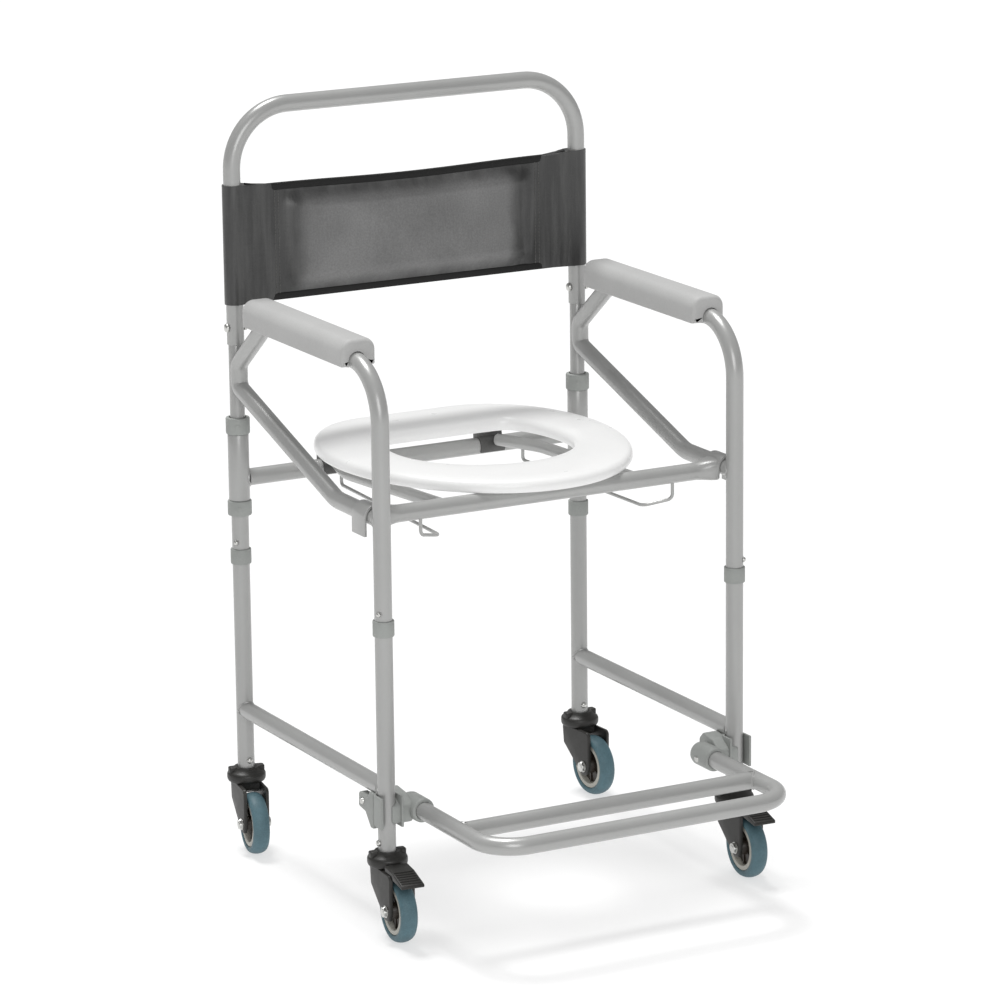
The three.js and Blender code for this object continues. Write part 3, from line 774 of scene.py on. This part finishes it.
# ---- Castors --------------------------------------------------------------------------

WHEEL_R = 40.0
WHEEL_HALF = 11.0
TRAIL = 34.0
RIM_R = 30.0
FORK_TOP = 88.2
HEADING = {
    j["name"]: math.atan2(j["axis"][1], j["axis"][0])
    for j in frame["joints"] if j["name"].startswith("wheel_")
}


def castor_cap(place, matrix):
    socket = TUBE_R + 0.7
    profile = [(0, 88.5), (21, 88.5), (23.5, 89.2), (24.6, 91), (25, 93), (25, 97.5),
               (24.2, 99.6), (22, 101.2), (18.6, 103.4), (16.8, 105.6), (15.8, 107),
               (socket, 107), (socket, 99.8), (0, 99.8)]
    shells = [spin(profile, at(0, 0, 0), (0, 0, 1), 48)]
    for side in (1, -1):
        lug = rounded([(side * 12.5, -6.5), (side * 23.5, -5.5), (side * 23.5, 5.5),
                       (side * 12.5, 6.5)], 3)
        shells.append(slab(lug, 98, 107.6, "XY", 1.6))
    obj = mesh_of(f"castor_cap_{place}_shell", [moved(s, matrix) for s in shells], [CASTOR])
    dress(obj, "base", f"castor_cap_{place}")


def castor_fork(place, matrix):
    outline = rounded([
        (17.5, FORK_TOP), (14.5, FORK_TOP - 26), (-TRAIL + 12, WHEEL_R - 6),
        (-TRAIL + 3, WHEEL_R - 12.5), (-TRAIL - 9, WHEEL_R - 10.5), (-TRAIL - 12.5, WHEEL_R + 2),
        (-TRAIL - 13, FORK_TOP - 4), (-TRAIL - 9, FORK_TOP),
    ], 4.5)
    body = mesh_of(f"castor_fork_{place}_shell", [slab(outline, -17, 17, "YZ", 1.6)], [CASTOR])
    slot = 12.7
    cutters = [
        spin([(0, -slot), (WHEEL_R + 2.6, -slot), (WHEEL_R + 2.6, slot), (0, slot)],
             at(0, -TRAIL, WHEEL_R), (1, 0, 0), 48),
        slab([(-TRAIL - 60, -5), (24, -5), (24, WHEEL_R + 36), (-TRAIL - 60, WHEEL_R + 36)],
             -slot, slot, "YZ", 0.01, 1),
        slab([(-TRAIL - 60, 10), (-16.5, 10), (-16.5, FORK_TOP + 5),
              (-TRAIL - 60, FORK_TOP + 5)], -slot, slot, "YZ", 0.01, 1),
    ]
    combine(body, cutters, "DIFFERENCE")
    body.data.transform(matrix)
    dress(body, f"castor_{place}", f"castor_fork_{place}")


def hex_nut(origin, axis, across, thick):
    """A hexagon with chamfered corners, along axis from origin."""
    axis = Vector(axis).normalized()
    side = axis.orthogonal().normalized()
    up = axis.cross(side)
    rings = []
    for depth, pull in ((0, 0), (thick - 1.0, 0), (thick, 0.13)):
        ring = []
        for k in range(36):
            a = 2 * math.pi * k / 36
            flat = across / math.cos((a % (math.pi / 3)) - math.pi / 6)
            r = min(flat, across * (1.16 - pull))
            around = side * math.cos(a) + up * math.sin(a)
            ring.append(origin + (axis * depth + around * r) * MM)
        rings.append(ring)
    return loft(rings)


def castor_axle(place, matrix):
    centre = at(0, -TRAIL, WHEEL_R)
    shells = [
        rod(centre - Vector((22 * MM, 0, 0)), centre + Vector((18 * MM, 0, 0)), 3.8, 0, 20),
        hex_nut(centre - Vector((17.2 * MM, 0, 0)), (-1, 0, 0), 6.3, 4.2),
        spin([(7, 17.2), (7, 19.2), (5.8, 20.8), (3.2, 21.5), (0, 21.7)], centre, (1, 0, 0), 28),
        spin([(7.6, 17.05), (7.6, 17.7), (0, 17.7)], centre, (-1, 0, 0), 28),
    ]
    obj = mesh_of(f"castor_axle_{place}_bolt", [moved(s, matrix) for s in shells], [ZINC])
    dress(obj, f"castor_{place}", f"castor_axle_{place}")


def wheel(place, matrix):
    centre = at(0, -TRAIL, WHEEL_R)
    axis = (1, 0, 0)
    body = f"wheel_{place}"
    arc = [math.radians(d) for d in range(0, 181, 12)]
    inner = RIM_R + 0.4
    crown = 8.2
    side_r = WHEEL_R - 5.5
    tread = [(side_r + 5.5 * math.sin(a), -(WHEEL_HALF - 0.2) * math.cos(a)) for a in arc]
    profile = [(inner, -WHEEL_HALF + 1.2), (inner + 1.5, -WHEEL_HALF + 0.3), *tread,
               (inner + 1.5, WHEEL_HALF - 0.3), (inner, WHEEL_HALF - 1.2),
               (inner, -WHEEL_HALF + 1.2)]
    tyre = mesh_of(f"wheel_tyre_{place}_round", [moved(spin(profile, centre, axis, 72), matrix)],
                   [TYRE])
    dress(tyre, body, f"wheel_tyre_{place}")
    shells = []
    rim = [(RIM_R - 7.0, -3.2), (RIM_R - 6.4, -crown), (RIM_R - 5.4, -crown - 1.2),
           (RIM_R - 0.8, -crown - 1.5), (RIM_R + 0.3, -crown - 0.4), (RIM_R + 0.3, crown + 0.4),
           (RIM_R - 0.8, crown + 1.5), (RIM_R - 5.4, crown + 1.2), (RIM_R - 6.4, crown),
           (RIM_R - 7.0, 3.2), (RIM_R - 7.0, -3.2)]
    shells.append((*moved(spin(rim, centre, axis, 64), matrix), HUB))
    core = [(4.3, -12), (8.6, -12), (9.4, -11), (10.6, -3.6), (RIM_R - 6.8, -2.6),
            (RIM_R - 6.8, 2.6), (10.6, 3.6), (9.4, 11), (8.6, 12), (4.3, 12), (4.3, -12)]
    shells.append((*moved(spin(core, centre, axis, 48), matrix), CORE))
    for k in range(6):
        turn = Matrix.Translation(centre) @ Matrix.Rotation(math.pi * k / 3, 4, "X")
        for side in (1, -1):
            x0, x1 = sorted((side * 2.0, side * 5.0))
            web = [Vector((x * MM, y * MM, z * MM))
                   for x in (x0, x1) for y, z in ((-1, 8), (1, 8), (1, 23.4), (-1, 23.4))]
            faces = [(0, 1, 2, 3), (7, 6, 5, 4), (0, 4, 5, 1), (1, 5, 6, 2), (2, 6, 7, 3),
                     (3, 7, 4, 0)]
            shells.append((*moved((web, faces), matrix @ turn), CORE))
    hub = mesh_of(f"wheel_hub_{place}_rim", shells, [HUB, CORE])
    dress(hub, body, f"wheel_hub_{place}")


def brake_pedal(place, matrix):
    top = FORK_TOP + 0.3
    outline = rounded([
        (-27, top + 8), (-49, top + 6), (-82, 86), (-83, 82), (-80, 81.5), (-52, 84.6),
        (-49, top), (-27, top),
    ], 1.6)
    shells = [slab(outline, -15, 15, "YZ", 1.4)]
    for k in range(6):
        y = -52 - 5.0 * k
        shells.append(rod(at(-13, y, 94.5 + (y + 49) * 0.2576), at(13, y, 94.5 + (y + 49) * 0.2576),
                          1.3, 0, 12, 0.4))
    obj = mesh_of(f"brake_pedal_{place}_plate", [moved(s, matrix) for s in shells], [CASTOR])
    dress(obj, f"brake_pedal_{place}", f"brake_pedal_{place}")


def make_castor(place):
    leg = middle(f"leg_collar_{place}")
    centre = Matrix.Translation(at(0, 0, 0))
    turn = Matrix.Rotation(HEADING[f"wheel_{place}_spin"], 4, "Z")
    matrix = Matrix.Translation((leg.x, leg.y, 0)) @ turn @ centre.inverted()
    castor_cap(place, matrix)
    castor_fork(place, matrix)
    castor_axle(place, matrix)
    wheel(place, matrix)
    if place.startswith("front"):
        brake_pedal(place, matrix)


for place in PLACES:
    make_castor(place)

# ---- Side frames ----------------------------------------------------------------------


def side_loop(side_name):
    x = SIDES[side_name] * LEG_X
    path = bent([
        at(x, -LEG_Y, 380), at(x, -LEG_Y, ARM_Z), at(x, 107, ARM_Z), at(x, 192, 640),
        at(x, 192, 610), at(x, -80, TAIL_Z), at(x, -LEG_Y + 3, TAIL_Z),
    ], [67, 24, 17, 12, 60])
    shells = [tube(path), weld_bead(at(x, -LEG_Y, TAIL_Z), (0, 1, 0), (0, 0, 1))]
    piece(f"side_frame_{side_name}", shells, PAINT, "upper_frame", f"side_loop_{side_name}")


def rear_upright(side_name):
    x = SIDES[side_name] * LEG_X
    profile = [(9.7, 380), (10.6, 380), (11, 380.5), (11, 549), (9.5, 558), (9.5, 737.5),
               (9.2, 738), (8.2, 738), (8.2, 560), (9.7, 550), (9.7, 380)]
    piece(f"rear_post_{side_name}", [spin(profile, at(x, LEG_Y, 0), (0, 0, 1))], PAINT,
          "upper_frame", f"rear_upright_{side_name}")


def arm_pad(side_name):
    """A foam grip with a channel underneath for the tube and rounded ends."""
    side = SIDES[side_name]
    node = f"armrest_pad_{side_name}"
    front, rear = low(node).y, high(node).y
    top, bottom = high(node).z, low(node).z
    middle_x = (low(node).x + high(node).x) / 2
    tube_x = side * LEG_X - middle_x
    half, shoulder, saddle, lip = 23.0, 15.0, TUBE_R + 0.3, 2.0
    outer = arc(half - lip, bottom + lip, lip, range(-90, 1, 18))
    outer += arc(half - shoulder, top - shoulder, shoulder, range(0, 91, 9))
    outer += [(-px, pz) for px, pz in reversed(outer)]
    inner = [(tube_x - saddle, bottom), *arc(tube_x, ARM_Z, saddle, range(180, -1, -12)),
             (tube_x + saddle, bottom)]
    count = len(outer)

    def section(y, inset):
        ring = []
        for i, (px, pz) in enumerate(outer):
            before = Vector(outer[max(i - 1, 0)])
            after = Vector(outer[min(i + 1, count - 1)])
            along = (after - before).normalized()
            ring.append(at(middle_x + px - along.y * inset, y, pz + along.x * inset))
        return ring + [at(middle_x + px, y, pz) for px, pz in inner]

    ends = [(6 * (1 - math.cos(a)), 6 * (1 - math.sin(a)))
            for a in (math.radians(d) for d in range(0, 91, 15))]
    rings = [section(front + depth, inset) for depth, inset in ends]
    rings += [section(front + 12 + (rear - front - 24) * k / 10, 0) for k in range(11)]
    rings += [section(rear - depth, inset) for depth, inset in reversed(ends)]
    obj = mesh_of(f"armrest_grip_{side_name}", [loft(rings)], [FOAM])
    dress(obj, "upper_frame", node)


def snap_button(place, side):
    leg = middle(f"leg_collar_{place}")
    out = Vector((side * math.cos(BUTTON_TURN), -math.sin(BUTTON_TURN), 0))
    origin = Vector((leg.x, leg.y, BUTTON_Z * MM))
    dome = [(0, 9.7), (3, 9.7), (3, 12.4), (2.7, 13.1), (2, 13.7), (1, 14.05), (0, 14.15)]
    piece(f"snap_button_{place}_dome", [spin(dome, origin, out, 24)], ZINC,
          f"snap_button_{place}", f"snap_button_{place}")
    rim = [(3.4, 10.6), (4.4, 10.7), (4.2, 11.15), (3.4, 11.2), (3.4, 10.6)]
    piece(f"button_hole_{place}", [spin(rim, origin, out, 24)], PAINT, "upper_frame")


for side_name, side in SIDES.items():
    side_loop(side_name)
    rear_upright(side_name)
    arm_pad(side_name)
    for end_name in ENDS:
        place = f"{end_name}_{side_name}"
        leg = middle(f"leg_collar_{place}")
        node = f"leg_collar_{place}"
        shell = ring_shell(leg.x / MM, (leg.y - MID_Y) / MM, low(node).z, high(node).z, 13.3, 11.2)
        piece(f"leg_collar_{place}_ring", [shell], GREY, "upper_frame", node)
        snap_button(place, side)

# ---- Rear cross frame, handle and sling -----------------------------------------------


def rear_cross():
    tubes = [rod(at(-LEG_X + 12, LEG_Y, CROSS_Z), at(LEG_X - 12, LEG_Y, CROSS_Z), TUBE_R, 0, 32)]
    for side in SIDES.values():
        tubes.append(ring_shell(side * LEG_X, LEG_Y, 462, 548, 13.5, 11.2, 0.6))
        tubes.append(weld_bead(at(side * LEG_X, LEG_Y, CROSS_Z), (-side, 0, 0), (0, 0, 1),
                               TUBE_R, 13.5))
    piece("rear_cross_tube", tubes, PAINT, "upper_frame", "rear_cross_frame")
    for side_name, side in SIDES.items():
        x = side * LEG_X
        for level, bottom, top in (("lower", 442, 461.7), ("upper", 548.3, 570)):
            shells = [ring_shell(x, LEG_Y, bottom, top, 15.4, 11.3, 1.8),
                      spin([(3.4, 15.0), (3.4, 15.7), (2.4, 16.2), (0, 16.3)],
                           at(x, LEG_Y, (bottom + top) / 2), (-0.42, -0.9, 0), 20)]
            piece(f"sleeve_collar_{level}_{side_name}_ring", shells, GREY, "upper_frame",
                  f"sleeve_collar_{level}_{side_name}")


def push_handle():
    path = bent([
        at(-LEG_X, LEG_Y, HANDLE_BOTTOM), at(-LEG_X, LEG_Y, HANDLE_TOP),
        at(LEG_X, LEG_Y, HANDLE_TOP), at(LEG_X, LEG_Y, HANDLE_BOTTOM),
    ], [78, 78], 4.5)
    piece("push_handle_tube", [tube(path, TUBE_R, 9.8)], PAINT, "upper_frame", "push_handle")
    for side_name, side in SIDES.items():
        centre = at(side * LEG_X, LEG_Y, BOLT_Z)
        shells = [
            spin([(5.6, 10.9), (5.6, 12.2), (4.6, 13.9), (2.4, 14.8), (0, 15)], centre,
                 (-1, 0, 0), 28),
            rod(centre - Vector((11 * MM, 0, 0)), centre + Vector((15.4 * MM, 0, 0)), 2.9, 0, 16),
            hex_nut(centre + Vector((11 * MM, 0, 0)), (1, 0, 0), 5.0, 3.6),
        ]
        piece(f"handle_bolt_{side_name}_head", shells, ZINC, "upper_frame",
              f"handle_bolt_{side_name}")


SLING_BOTTOM = low("backrest_sling").z
SLING_TOP = high("backrest_sling").z
SEAM_X = 187.0
POCKET_R = 12.9


def smoothstep(low_edge, high_edge, value):
    t = min(max((value - low_edge) / (high_edge - low_edge), 0), 1)
    return t * t * (3 - 2 * t)


def sling_top(x):
    """Height of the top edge: the panel hangs a little below the pockets."""
    reach = 1 - smoothstep(205, 236, abs(x))
    return SLING_TOP - reach * (4.0 + 3.0 * math.cos(x / 200 * math.pi / 2) ** 2)


def sling_front(x, z):
    """How far the front face stands out from the plane of the handle's legs."""
    pad_side = smoothstep(0, 26, 184 - abs(x))
    pad_low = smoothstep(0, 22, z - SLING_BOTTOM - 9)
    pad_high = smoothstep(0, 22, sling_top(x) - z - 9)
    pad = pad_side * pad_low * pad_high
    crown = 1 - 0.25 * (x / 180) ** 2
    ripple = noise.noise(Vector((x * 0.018, z * 0.03, 3.0))) * 1.2
    puckers = noise.noise(Vector((x * 0.05, z * 0.012, 8.0))) * 1.5 \
        * smoothstep(60, 0, 187 - abs(x)) * smoothstep(0, 10, 187 - abs(x))
    return 2.4 + pad * (9.5 * crown + ripple) + puckers


def sling_back(x, z):
    pad_side = smoothstep(0, 30, 184 - abs(x))
    rise = smoothstep(0, 26, z - SLING_BOTTOM - 8) * smoothstep(0, 26, sling_top(x) - z - 8)
    ripple = noise.noise(Vector((x * 0.02, z * 0.03, 21.0))) * 1.0
    return 2.4 + pad_side * rise * (4.0 + ripple)


def pocket_path(side, steps=26):
    """Plan points from the front seam round the handle's leg to the rear seam."""
    tangent = math.acos(POCKET_R / (LEG_X - SEAM_X))
    out = []
    for k in range(1, 6):
        t = k / 6
        angle = math.pi + tangent
        px = LEG_X + POCKET_R * math.cos(angle)
        py = POCKET_R * math.sin(angle)
        out.append((SEAM_X + (px - SEAM_X) * t, -2.4 + (py + 2.4) * t))
    for k in range(steps + 1):
        angle = math.pi + tangent + (2 * math.pi - 2 * tangent) * k / steps
        out.append((LEG_X + POCKET_R * math.cos(angle), POCKET_R * math.sin(angle)))
    out += [(px, -py) for px, py in reversed(out[:5])]
    return [(side * px, py) for px, py in (out if side > 0 else reversed(out))]


def sling_row(z_share):
    """One level of the sling: front face, left pocket, back face, right pocket."""
    ring = []
    across = [-SEAM_X + 2 * SEAM_X * k / 90 for k in range(91)]

    def height(x):
        return SLING_BOTTOM + (sling_top(x) - SLING_BOTTOM) * z_share

    pinch = 1 - 0.55 * max(0, 1 - min(z_share, 1 - z_share) * 22)
    for x in across:
        z = height(x)
        ring.append(at(x, LEG_Y - sling_front(x, z) * pinch, z))
    for px, py in pocket_path(1):
        ring.append(at(px, LEG_Y + py, height(px)))
    for x in reversed(across):
        z = height(x)
        ring.append(at(x, LEG_Y + sling_back(x, z) * pinch, z))
    for px, py in pocket_path(-1):
        ring.append(at(px, LEG_Y + py, height(px)))
    return ring


def backrest():
    shares = [0, 0.006] + [0.02 + 0.96 * k / 46 for k in range(47)] + [0.994, 1]
    panel = mesh_of("backrest_panel", [loft([sling_row(s) for s in shares])], [PANEL_VINYL])
    dress(panel, "upper_frame", "backrest_sling")
    bindings = []
    for edge in ("top", "bottom"):
        rings = []
        for k in range(81):
            x = -229 + 458 * k / 80
            z = sling_top(x) - 3.6 if edge == "top" else SLING_BOTTOM + 3.6
            tip = 4.9 if edge == "top" else -4.9
            section = rounded([(-3.3, -tip), (3.3, -tip), (3.3, tip), (-3.3, tip)], 2.4, 3)
            rings.append([at(x, LEG_Y + p.x, z + p.y) for p in section])
        bindings.append(loft(rings))
    piece("backrest_binding", bindings, BINDING, "upper_frame")
    stitches = []
    for side in SIDES.values():
        for face in (-1, 1):
            for row in (-2.6, 2.6):
                x = side * SEAM_X + row
                for k in range(31):
                    z = SLING_BOTTOM + 9 + (sling_top(x) - SLING_BOTTOM - 18) * k / 30
                    front = sling_front(x, z) if face < 0 else sling_back(x, z)
                    if abs(x) > SEAM_X:
                        front = 2.4 + (abs(x) - SEAM_X) * 0.2
                    y = LEG_Y + face * (front + 0.15)
                    stitches.append(rod(at(x, y, z - 1.6), at(x, y, z + 1.6), 0.45, 0, 6, 0.2))
    piece("backrest_stitches", stitches, THREAD, "upper_frame")


rear_cross()
push_handle()
backrest()

# ---- Seat frame -----------------------------------------------------------------------


HOOK_BORE_R = TUBE_R + 0.4
HOOK_R = 15
HOOK_OUTER_END = -23
HOOK_INNER_END = -13


def seat_bar():
    """A round bar whose ends flare into saddles that hook over the side frames."""
    bar = rod(at(-216, BAR_Y, BAR_Z), at(216, BAR_Y, BAR_Z), TUBE_R, 0, 40)
    obj = mesh_of("seat_bar", [bar], [PAINT])
    for side in SIDES.values():
        rings = []
        for k in range(13):
            t = k / 12
            ease = t * t * (3 - 2 * t)
            x = side * (206 + 29.5 * t)
            width = TUBE_R + 6.0 * ease
            drop = TUBE_R + 2.0 * ease
            rise = TUBE_R + 4.0 * ease
            ring = []
            for j in range(40):
                a = 2 * math.pi * j / 40
                c, s = math.cos(a), math.sin(a)
                power = 1 - 0.45 * ease
                y = width * math.copysign(abs(c) ** power, c)
                z = (rise if s > 0 else drop) * math.copysign(abs(s) ** power, s)
                ring.append(at(x, BAR_Y + y, BAR_Z + z))
            rings.append(ring)
        saddle = arc(0, 0, HOOK_BORE_R, range(180, -1, -9))
        saddle += [(HOOK_BORE_R, HOOK_OUTER_END), (HOOK_R, HOOK_OUTER_END)]
        saddle += arc(0, 0, HOOK_R, range(0, 181, 9))
        saddle += [(-HOOK_R, HOOK_INNER_END), (-HOOK_BORE_R, HOOK_INNER_END)]
        hook = [(side * (LEG_X + px), TAIL_Z + pz) for px, pz in saddle]
        combine(obj, [loft(rings), slab(hook, BAR_Y - 17, BAR_Y + 17, "XZ", 0.8, 2)], "UNION")
    dress(obj, "seat_frame", "seat_front_bar")


def seat_rails(side_name):
    side = SIDES[side_name]
    path = bent([at(side * 118, 183, 499), at(side * (RAIL_X + 7), 110, 502),
                 at(side * RAIL_X, -158, 515)], [110])
    piece(f"seat_rail_{side_name}", [tube(path, 8, 0, 28)], PAINT, "seat_frame",
          f"seat_side_rail_{side_name}")
    wire = bent([
        at(side * 177, BAR_Y, BAR_Z - TUBE_R + 2), at(side * 177, BAR_Y, 487),
        at(side * 143, BAR_Y + 16, WIRE_Z), at(side * 131.5, 140, WIRE_Z),
        at(side * 131.5, 140, 494),
    ], [8, 14, 5], 9)
    piece(f"pan_wire_{side_name}", [tube(wire, 2.2, 0, 16)], PAINT, "seat_frame",
          f"pan_rail_{side_name}")


def hinge_clip(side_name):
    x = SIDES[side_name] * CLIP_X
    outline = arc(LEG_Y, CROSS_Z, 13.2, [*range(105, 216, 10), *range(325, 396, 10)])
    outline += arc(HINGE_Y, HINGE_Z, 6, range(0, 181, 15))
    body = mesh_of(f"hinge_clip_{side_name}_body", [slab(outline, x - 18, x + 18, "YZ", 1.2)],
                   [CLIP])
    combine(body, [
        rod(at(x - 30, LEG_Y, CROSS_Z), at(x + 30, LEG_Y, CROSS_Z), TUBE_R + 0.3, 0, 40, 0.01),
        slab([(170, 505.9), (235, 505.9), (235, 540), (170, 540)], x - 9.5, x + 9.5, "YZ",
             0.01, 1),
    ], "DIFFERENCE")
    dress(body, "seat_frame", f"hinge_clip_{side_name}")
    pin = rod(at(x - 18.6, HINGE_Y, HINGE_Z), at(x + 18.6, HINGE_Y, HINGE_Z), 2.9, 0, 20)
    piece(f"hinge_pin_{side_name}", [pin], ZINC, "seat_frame")


seat_bar()
for side_name in SIDES:
    seat_rails(side_name)
    hinge_clip(side_name)

# ---- Seat ring ------------------------------------------------------------------------


def egg(count, half, widest, front, rear, rear_half):
    """An outline with an elliptical front and a flat rear between rounded corners.

    The points are equally spaced and a little smoothed where the curves meet.
    """
    turn = [math.pi * k / 360 for k in range(361)]
    raw = [Vector((half * math.cos(a), widest - (widest - front) * math.sin(a))) for a in turn]
    raw.reverse()
    corner = [a / 2 for a in turn]
    raw += [Vector((rear_half + (half - rear_half) * math.cos(a),
                    widest + (rear - widest) * math.sin(a))) for a in corner]
    raw += [Vector((rear_half * (1 - k / 30), rear)) for k in range(1, 60)]
    raw += [Vector((-rear_half - (half - rear_half) * math.cos(a),
                    widest + (rear - widest) * math.sin(a))) for a in reversed(corner)]
    lengths = [0.0]
    for a, b in zip(raw, raw[1:]):
        lengths.append(lengths[-1] + (b - a).length)
    out = []
    i = 0
    for k in range(count):
        target = lengths[-1] * k / count
        while lengths[i + 1] < target:
            i += 1
        share = (target - lengths[i]) / max(lengths[i + 1] - lengths[i], 1e-9)
        out.append(raw[i].lerp(raw[i + 1], share))
    for _ in range(3):
        out = [(out[i - 1] + out[i] * 2 + out[(i + 1) % count]) / 4 for i in range(count)]
    return out


def seat_ring():
    count = 160
    outer = egg(count, 192.2, 37, -205.6, 218.6, 68)
    hole = egg(count, 117.6, 8, -110.4, 111.8, 80)
    top, bottom = RING_TOP, RING_BOTTOM
    tall = top - bottom
    rings = []
    for o, h in zip(outer, hole):
        inward = (h - o).normalized()
        width = (h - o).length
        section = [(5 - 5 * math.sin(math.radians(d)), 5 - 5 * math.cos(math.radians(d)))
                   for d in range(0, 91, 18)]
        section += [(9 - 9 * math.cos(math.radians(d)), tall - 12 + 9 * math.sin(math.radians(d)))
                    for d in range(0, 76, 15)]
        section += [(width * share, tall - drop)
                    for share, drop in ((0.30, 1.4), (0.52, 0.3), (0.74, 0.1))]
        section += [(width - 9 + 9 * math.sin(math.radians(d)),
                     tall - 10 + 9 * math.cos(math.radians(d))) for d in range(15, 91, 15)]
        section += [(width, 4.5), (width - 1.2, 1.4), (width - 4.5, 0)]
        rings.append([at(o.x + inward.x * s, o.y + inward.y * s, bottom + z)
                      for s, z in section])
    shells = [loft(rings, closed=True)]
    for side in SIDES.values():
        x = side * CLIP_X
        lug = rounded([(198.8, 520), (199.5, 513.3), (210.5, 513.3), (211, 520), (205, 531),
                       (191, 531), (191, 521)], 3, 5)
        shells.append(slab(lug, x - 8, x + 8, "YZ", 0.6))
    piece("seat_ring_moulding", shells, GLOWING_WHITE, "seat_ring", "seat_ring")
    for side_name, side in SIDES.items():
        foot = spin([(0, 0), (8, 0), (8, -2.2), (7, -3), (0, -3)],
                    at(side * 160, 60, bottom + 0.4), (0, 0, 1), 28)
        piece(f"seat_buffer_{side_name}", [foot], BLACK, "seat_ring")


seat_ring()

# ---- Footrest -------------------------------------------------------------------------


def footrest():
    front, inner, plug = -403, -316, -186
    path = bent([at(-REST_X, plug, REST_Z), at(-REST_X, front, REST_Z),
                 at(REST_X, front, REST_Z), at(REST_X, plug, REST_Z)], [48, 48], 4.5)
    shells = [tube(path), rod(at(-REST_X + 8, inner, REST_Z), at(REST_X - 8, inner, REST_Z),
                              TUBE_R, 0, 32)]
    for side in SIDES.values():
        shells.append(weld_bead(at(side * REST_X, inner, REST_Z), (-side, 0, 0), (0, 1, 0)))
    piece("footrest_bars", shells, PAINT, "footrest", "footrest_frame")


PLATE_OUTLINE = [(-190, 132), (-182, 132), (-168, 149), (-150, 152), (-151, 171), (-176, 171),
                 (-179, 178), (-190, 178)]
HUMP_OUTLINE = [(-213, 141), (-172, 141), (-163, 150), (-163, 169), (-172, 178), (-196, 175),
                (-213, 164)]


def clamp_band(side, facing):
    """Half a band round the front leg, with a lip standing clear of the tube in front."""
    x, y = side * LEG_X, -LEG_Y
    outer = [(x + facing * 15.4, y - 15.8)]
    outer += [(x + facing * px, y + py) for px, py in arc(0, 0, 15.4, range(0, 86, 9))]
    inner = [(x + facing * px, y + py) for px, py in arc(0, 0, 11.4, range(84, 29, -9))]
    inner += [(x + facing * 12.4, y + 3), (x + facing * 12.5, y - 15.8)]
    return slab(outer + inner, 138, 178, "XY", 0.8, 2)


def clamp_half(side, facing, name, node, extras):
    obj = mesh_of(name, [clamp_band(side, facing)], [GREY])
    x, y = side * LEG_X, -LEG_Y
    combine(obj, extras, "UNION")
    combine(obj, [
        rod(at(x, y, 100), at(x, y, 240), TUBE_R + 0.35, 0, 40, 0.01),
        rod(at(x, y, STRETCHER_Z), at(x, y + 80, STRETCHER_Z), TUBE_R + 0.35, 0, 40, 0.01),
    ], "DIFFERENCE")
    return dress(obj, "base", node)


def footrest_mount(side_name):
    side = SIDES[side_name]
    x, y = side * REST_X, -LEG_Y
    barrel = spin([(0, 22.4), (6, 22.2), (11, 20.8), (14, 18), (15.3, 14), (15.4, -18),
                   (15.2, -19.6), (14.4, -21.4), (13.4, -22), (11.4, -22), (11.4, -16),
                   (0, -16)], at(x, y, REST_Z), (0, 1, 0), 40)
    near, far = sorted((side * 217, side * (LEG_X - 1.2)))
    hump = slab(rounded(HUMP_OUTLINE, 6, 5), near, far, "YZ", 2.2, 4)
    clamp_half(side, -side, f"footrest_socket_{side_name}_body",
               f"footrest_socket_{side_name}", [barrel, hump])
    near, far = sorted((side * (LEG_X + 1.2), side * (LEG_X + 13.4)))
    plate = slab(rounded(PLATE_OUTLINE, 3.4, 5), near, far, "YZ", 2.0, 4)
    clamp_half(side, side, f"footrest_clamp_{side_name}_plate",
               f"footrest_clamp_{side_name}", [plate])
    screws = [
        spin([(3.9, 15.0), (3.9, 16.2), (3.0, 17.2), (0, 17.5)], at(x, y + 4, REST_Z),
             (-side, -0.25, -0.15), 24),
        spin([(4.4, 13.2), (4.4, 14.4), (3.4, 15.8), (0, 16.4)],
             at(side * LEG_X, y + 38, 161), (side, 0, 0), 24),
    ]
    piece(f"footrest_screws_{side_name}", screws, ZINC, "base")


footrest()
for side_name in SIDES:
    footrest_mount(side_name)

# ---- Sizes ----------------------------------------------------------------------------


def plain(box):
    return [[round(float(v), 5) for v in corner] for corner in box]
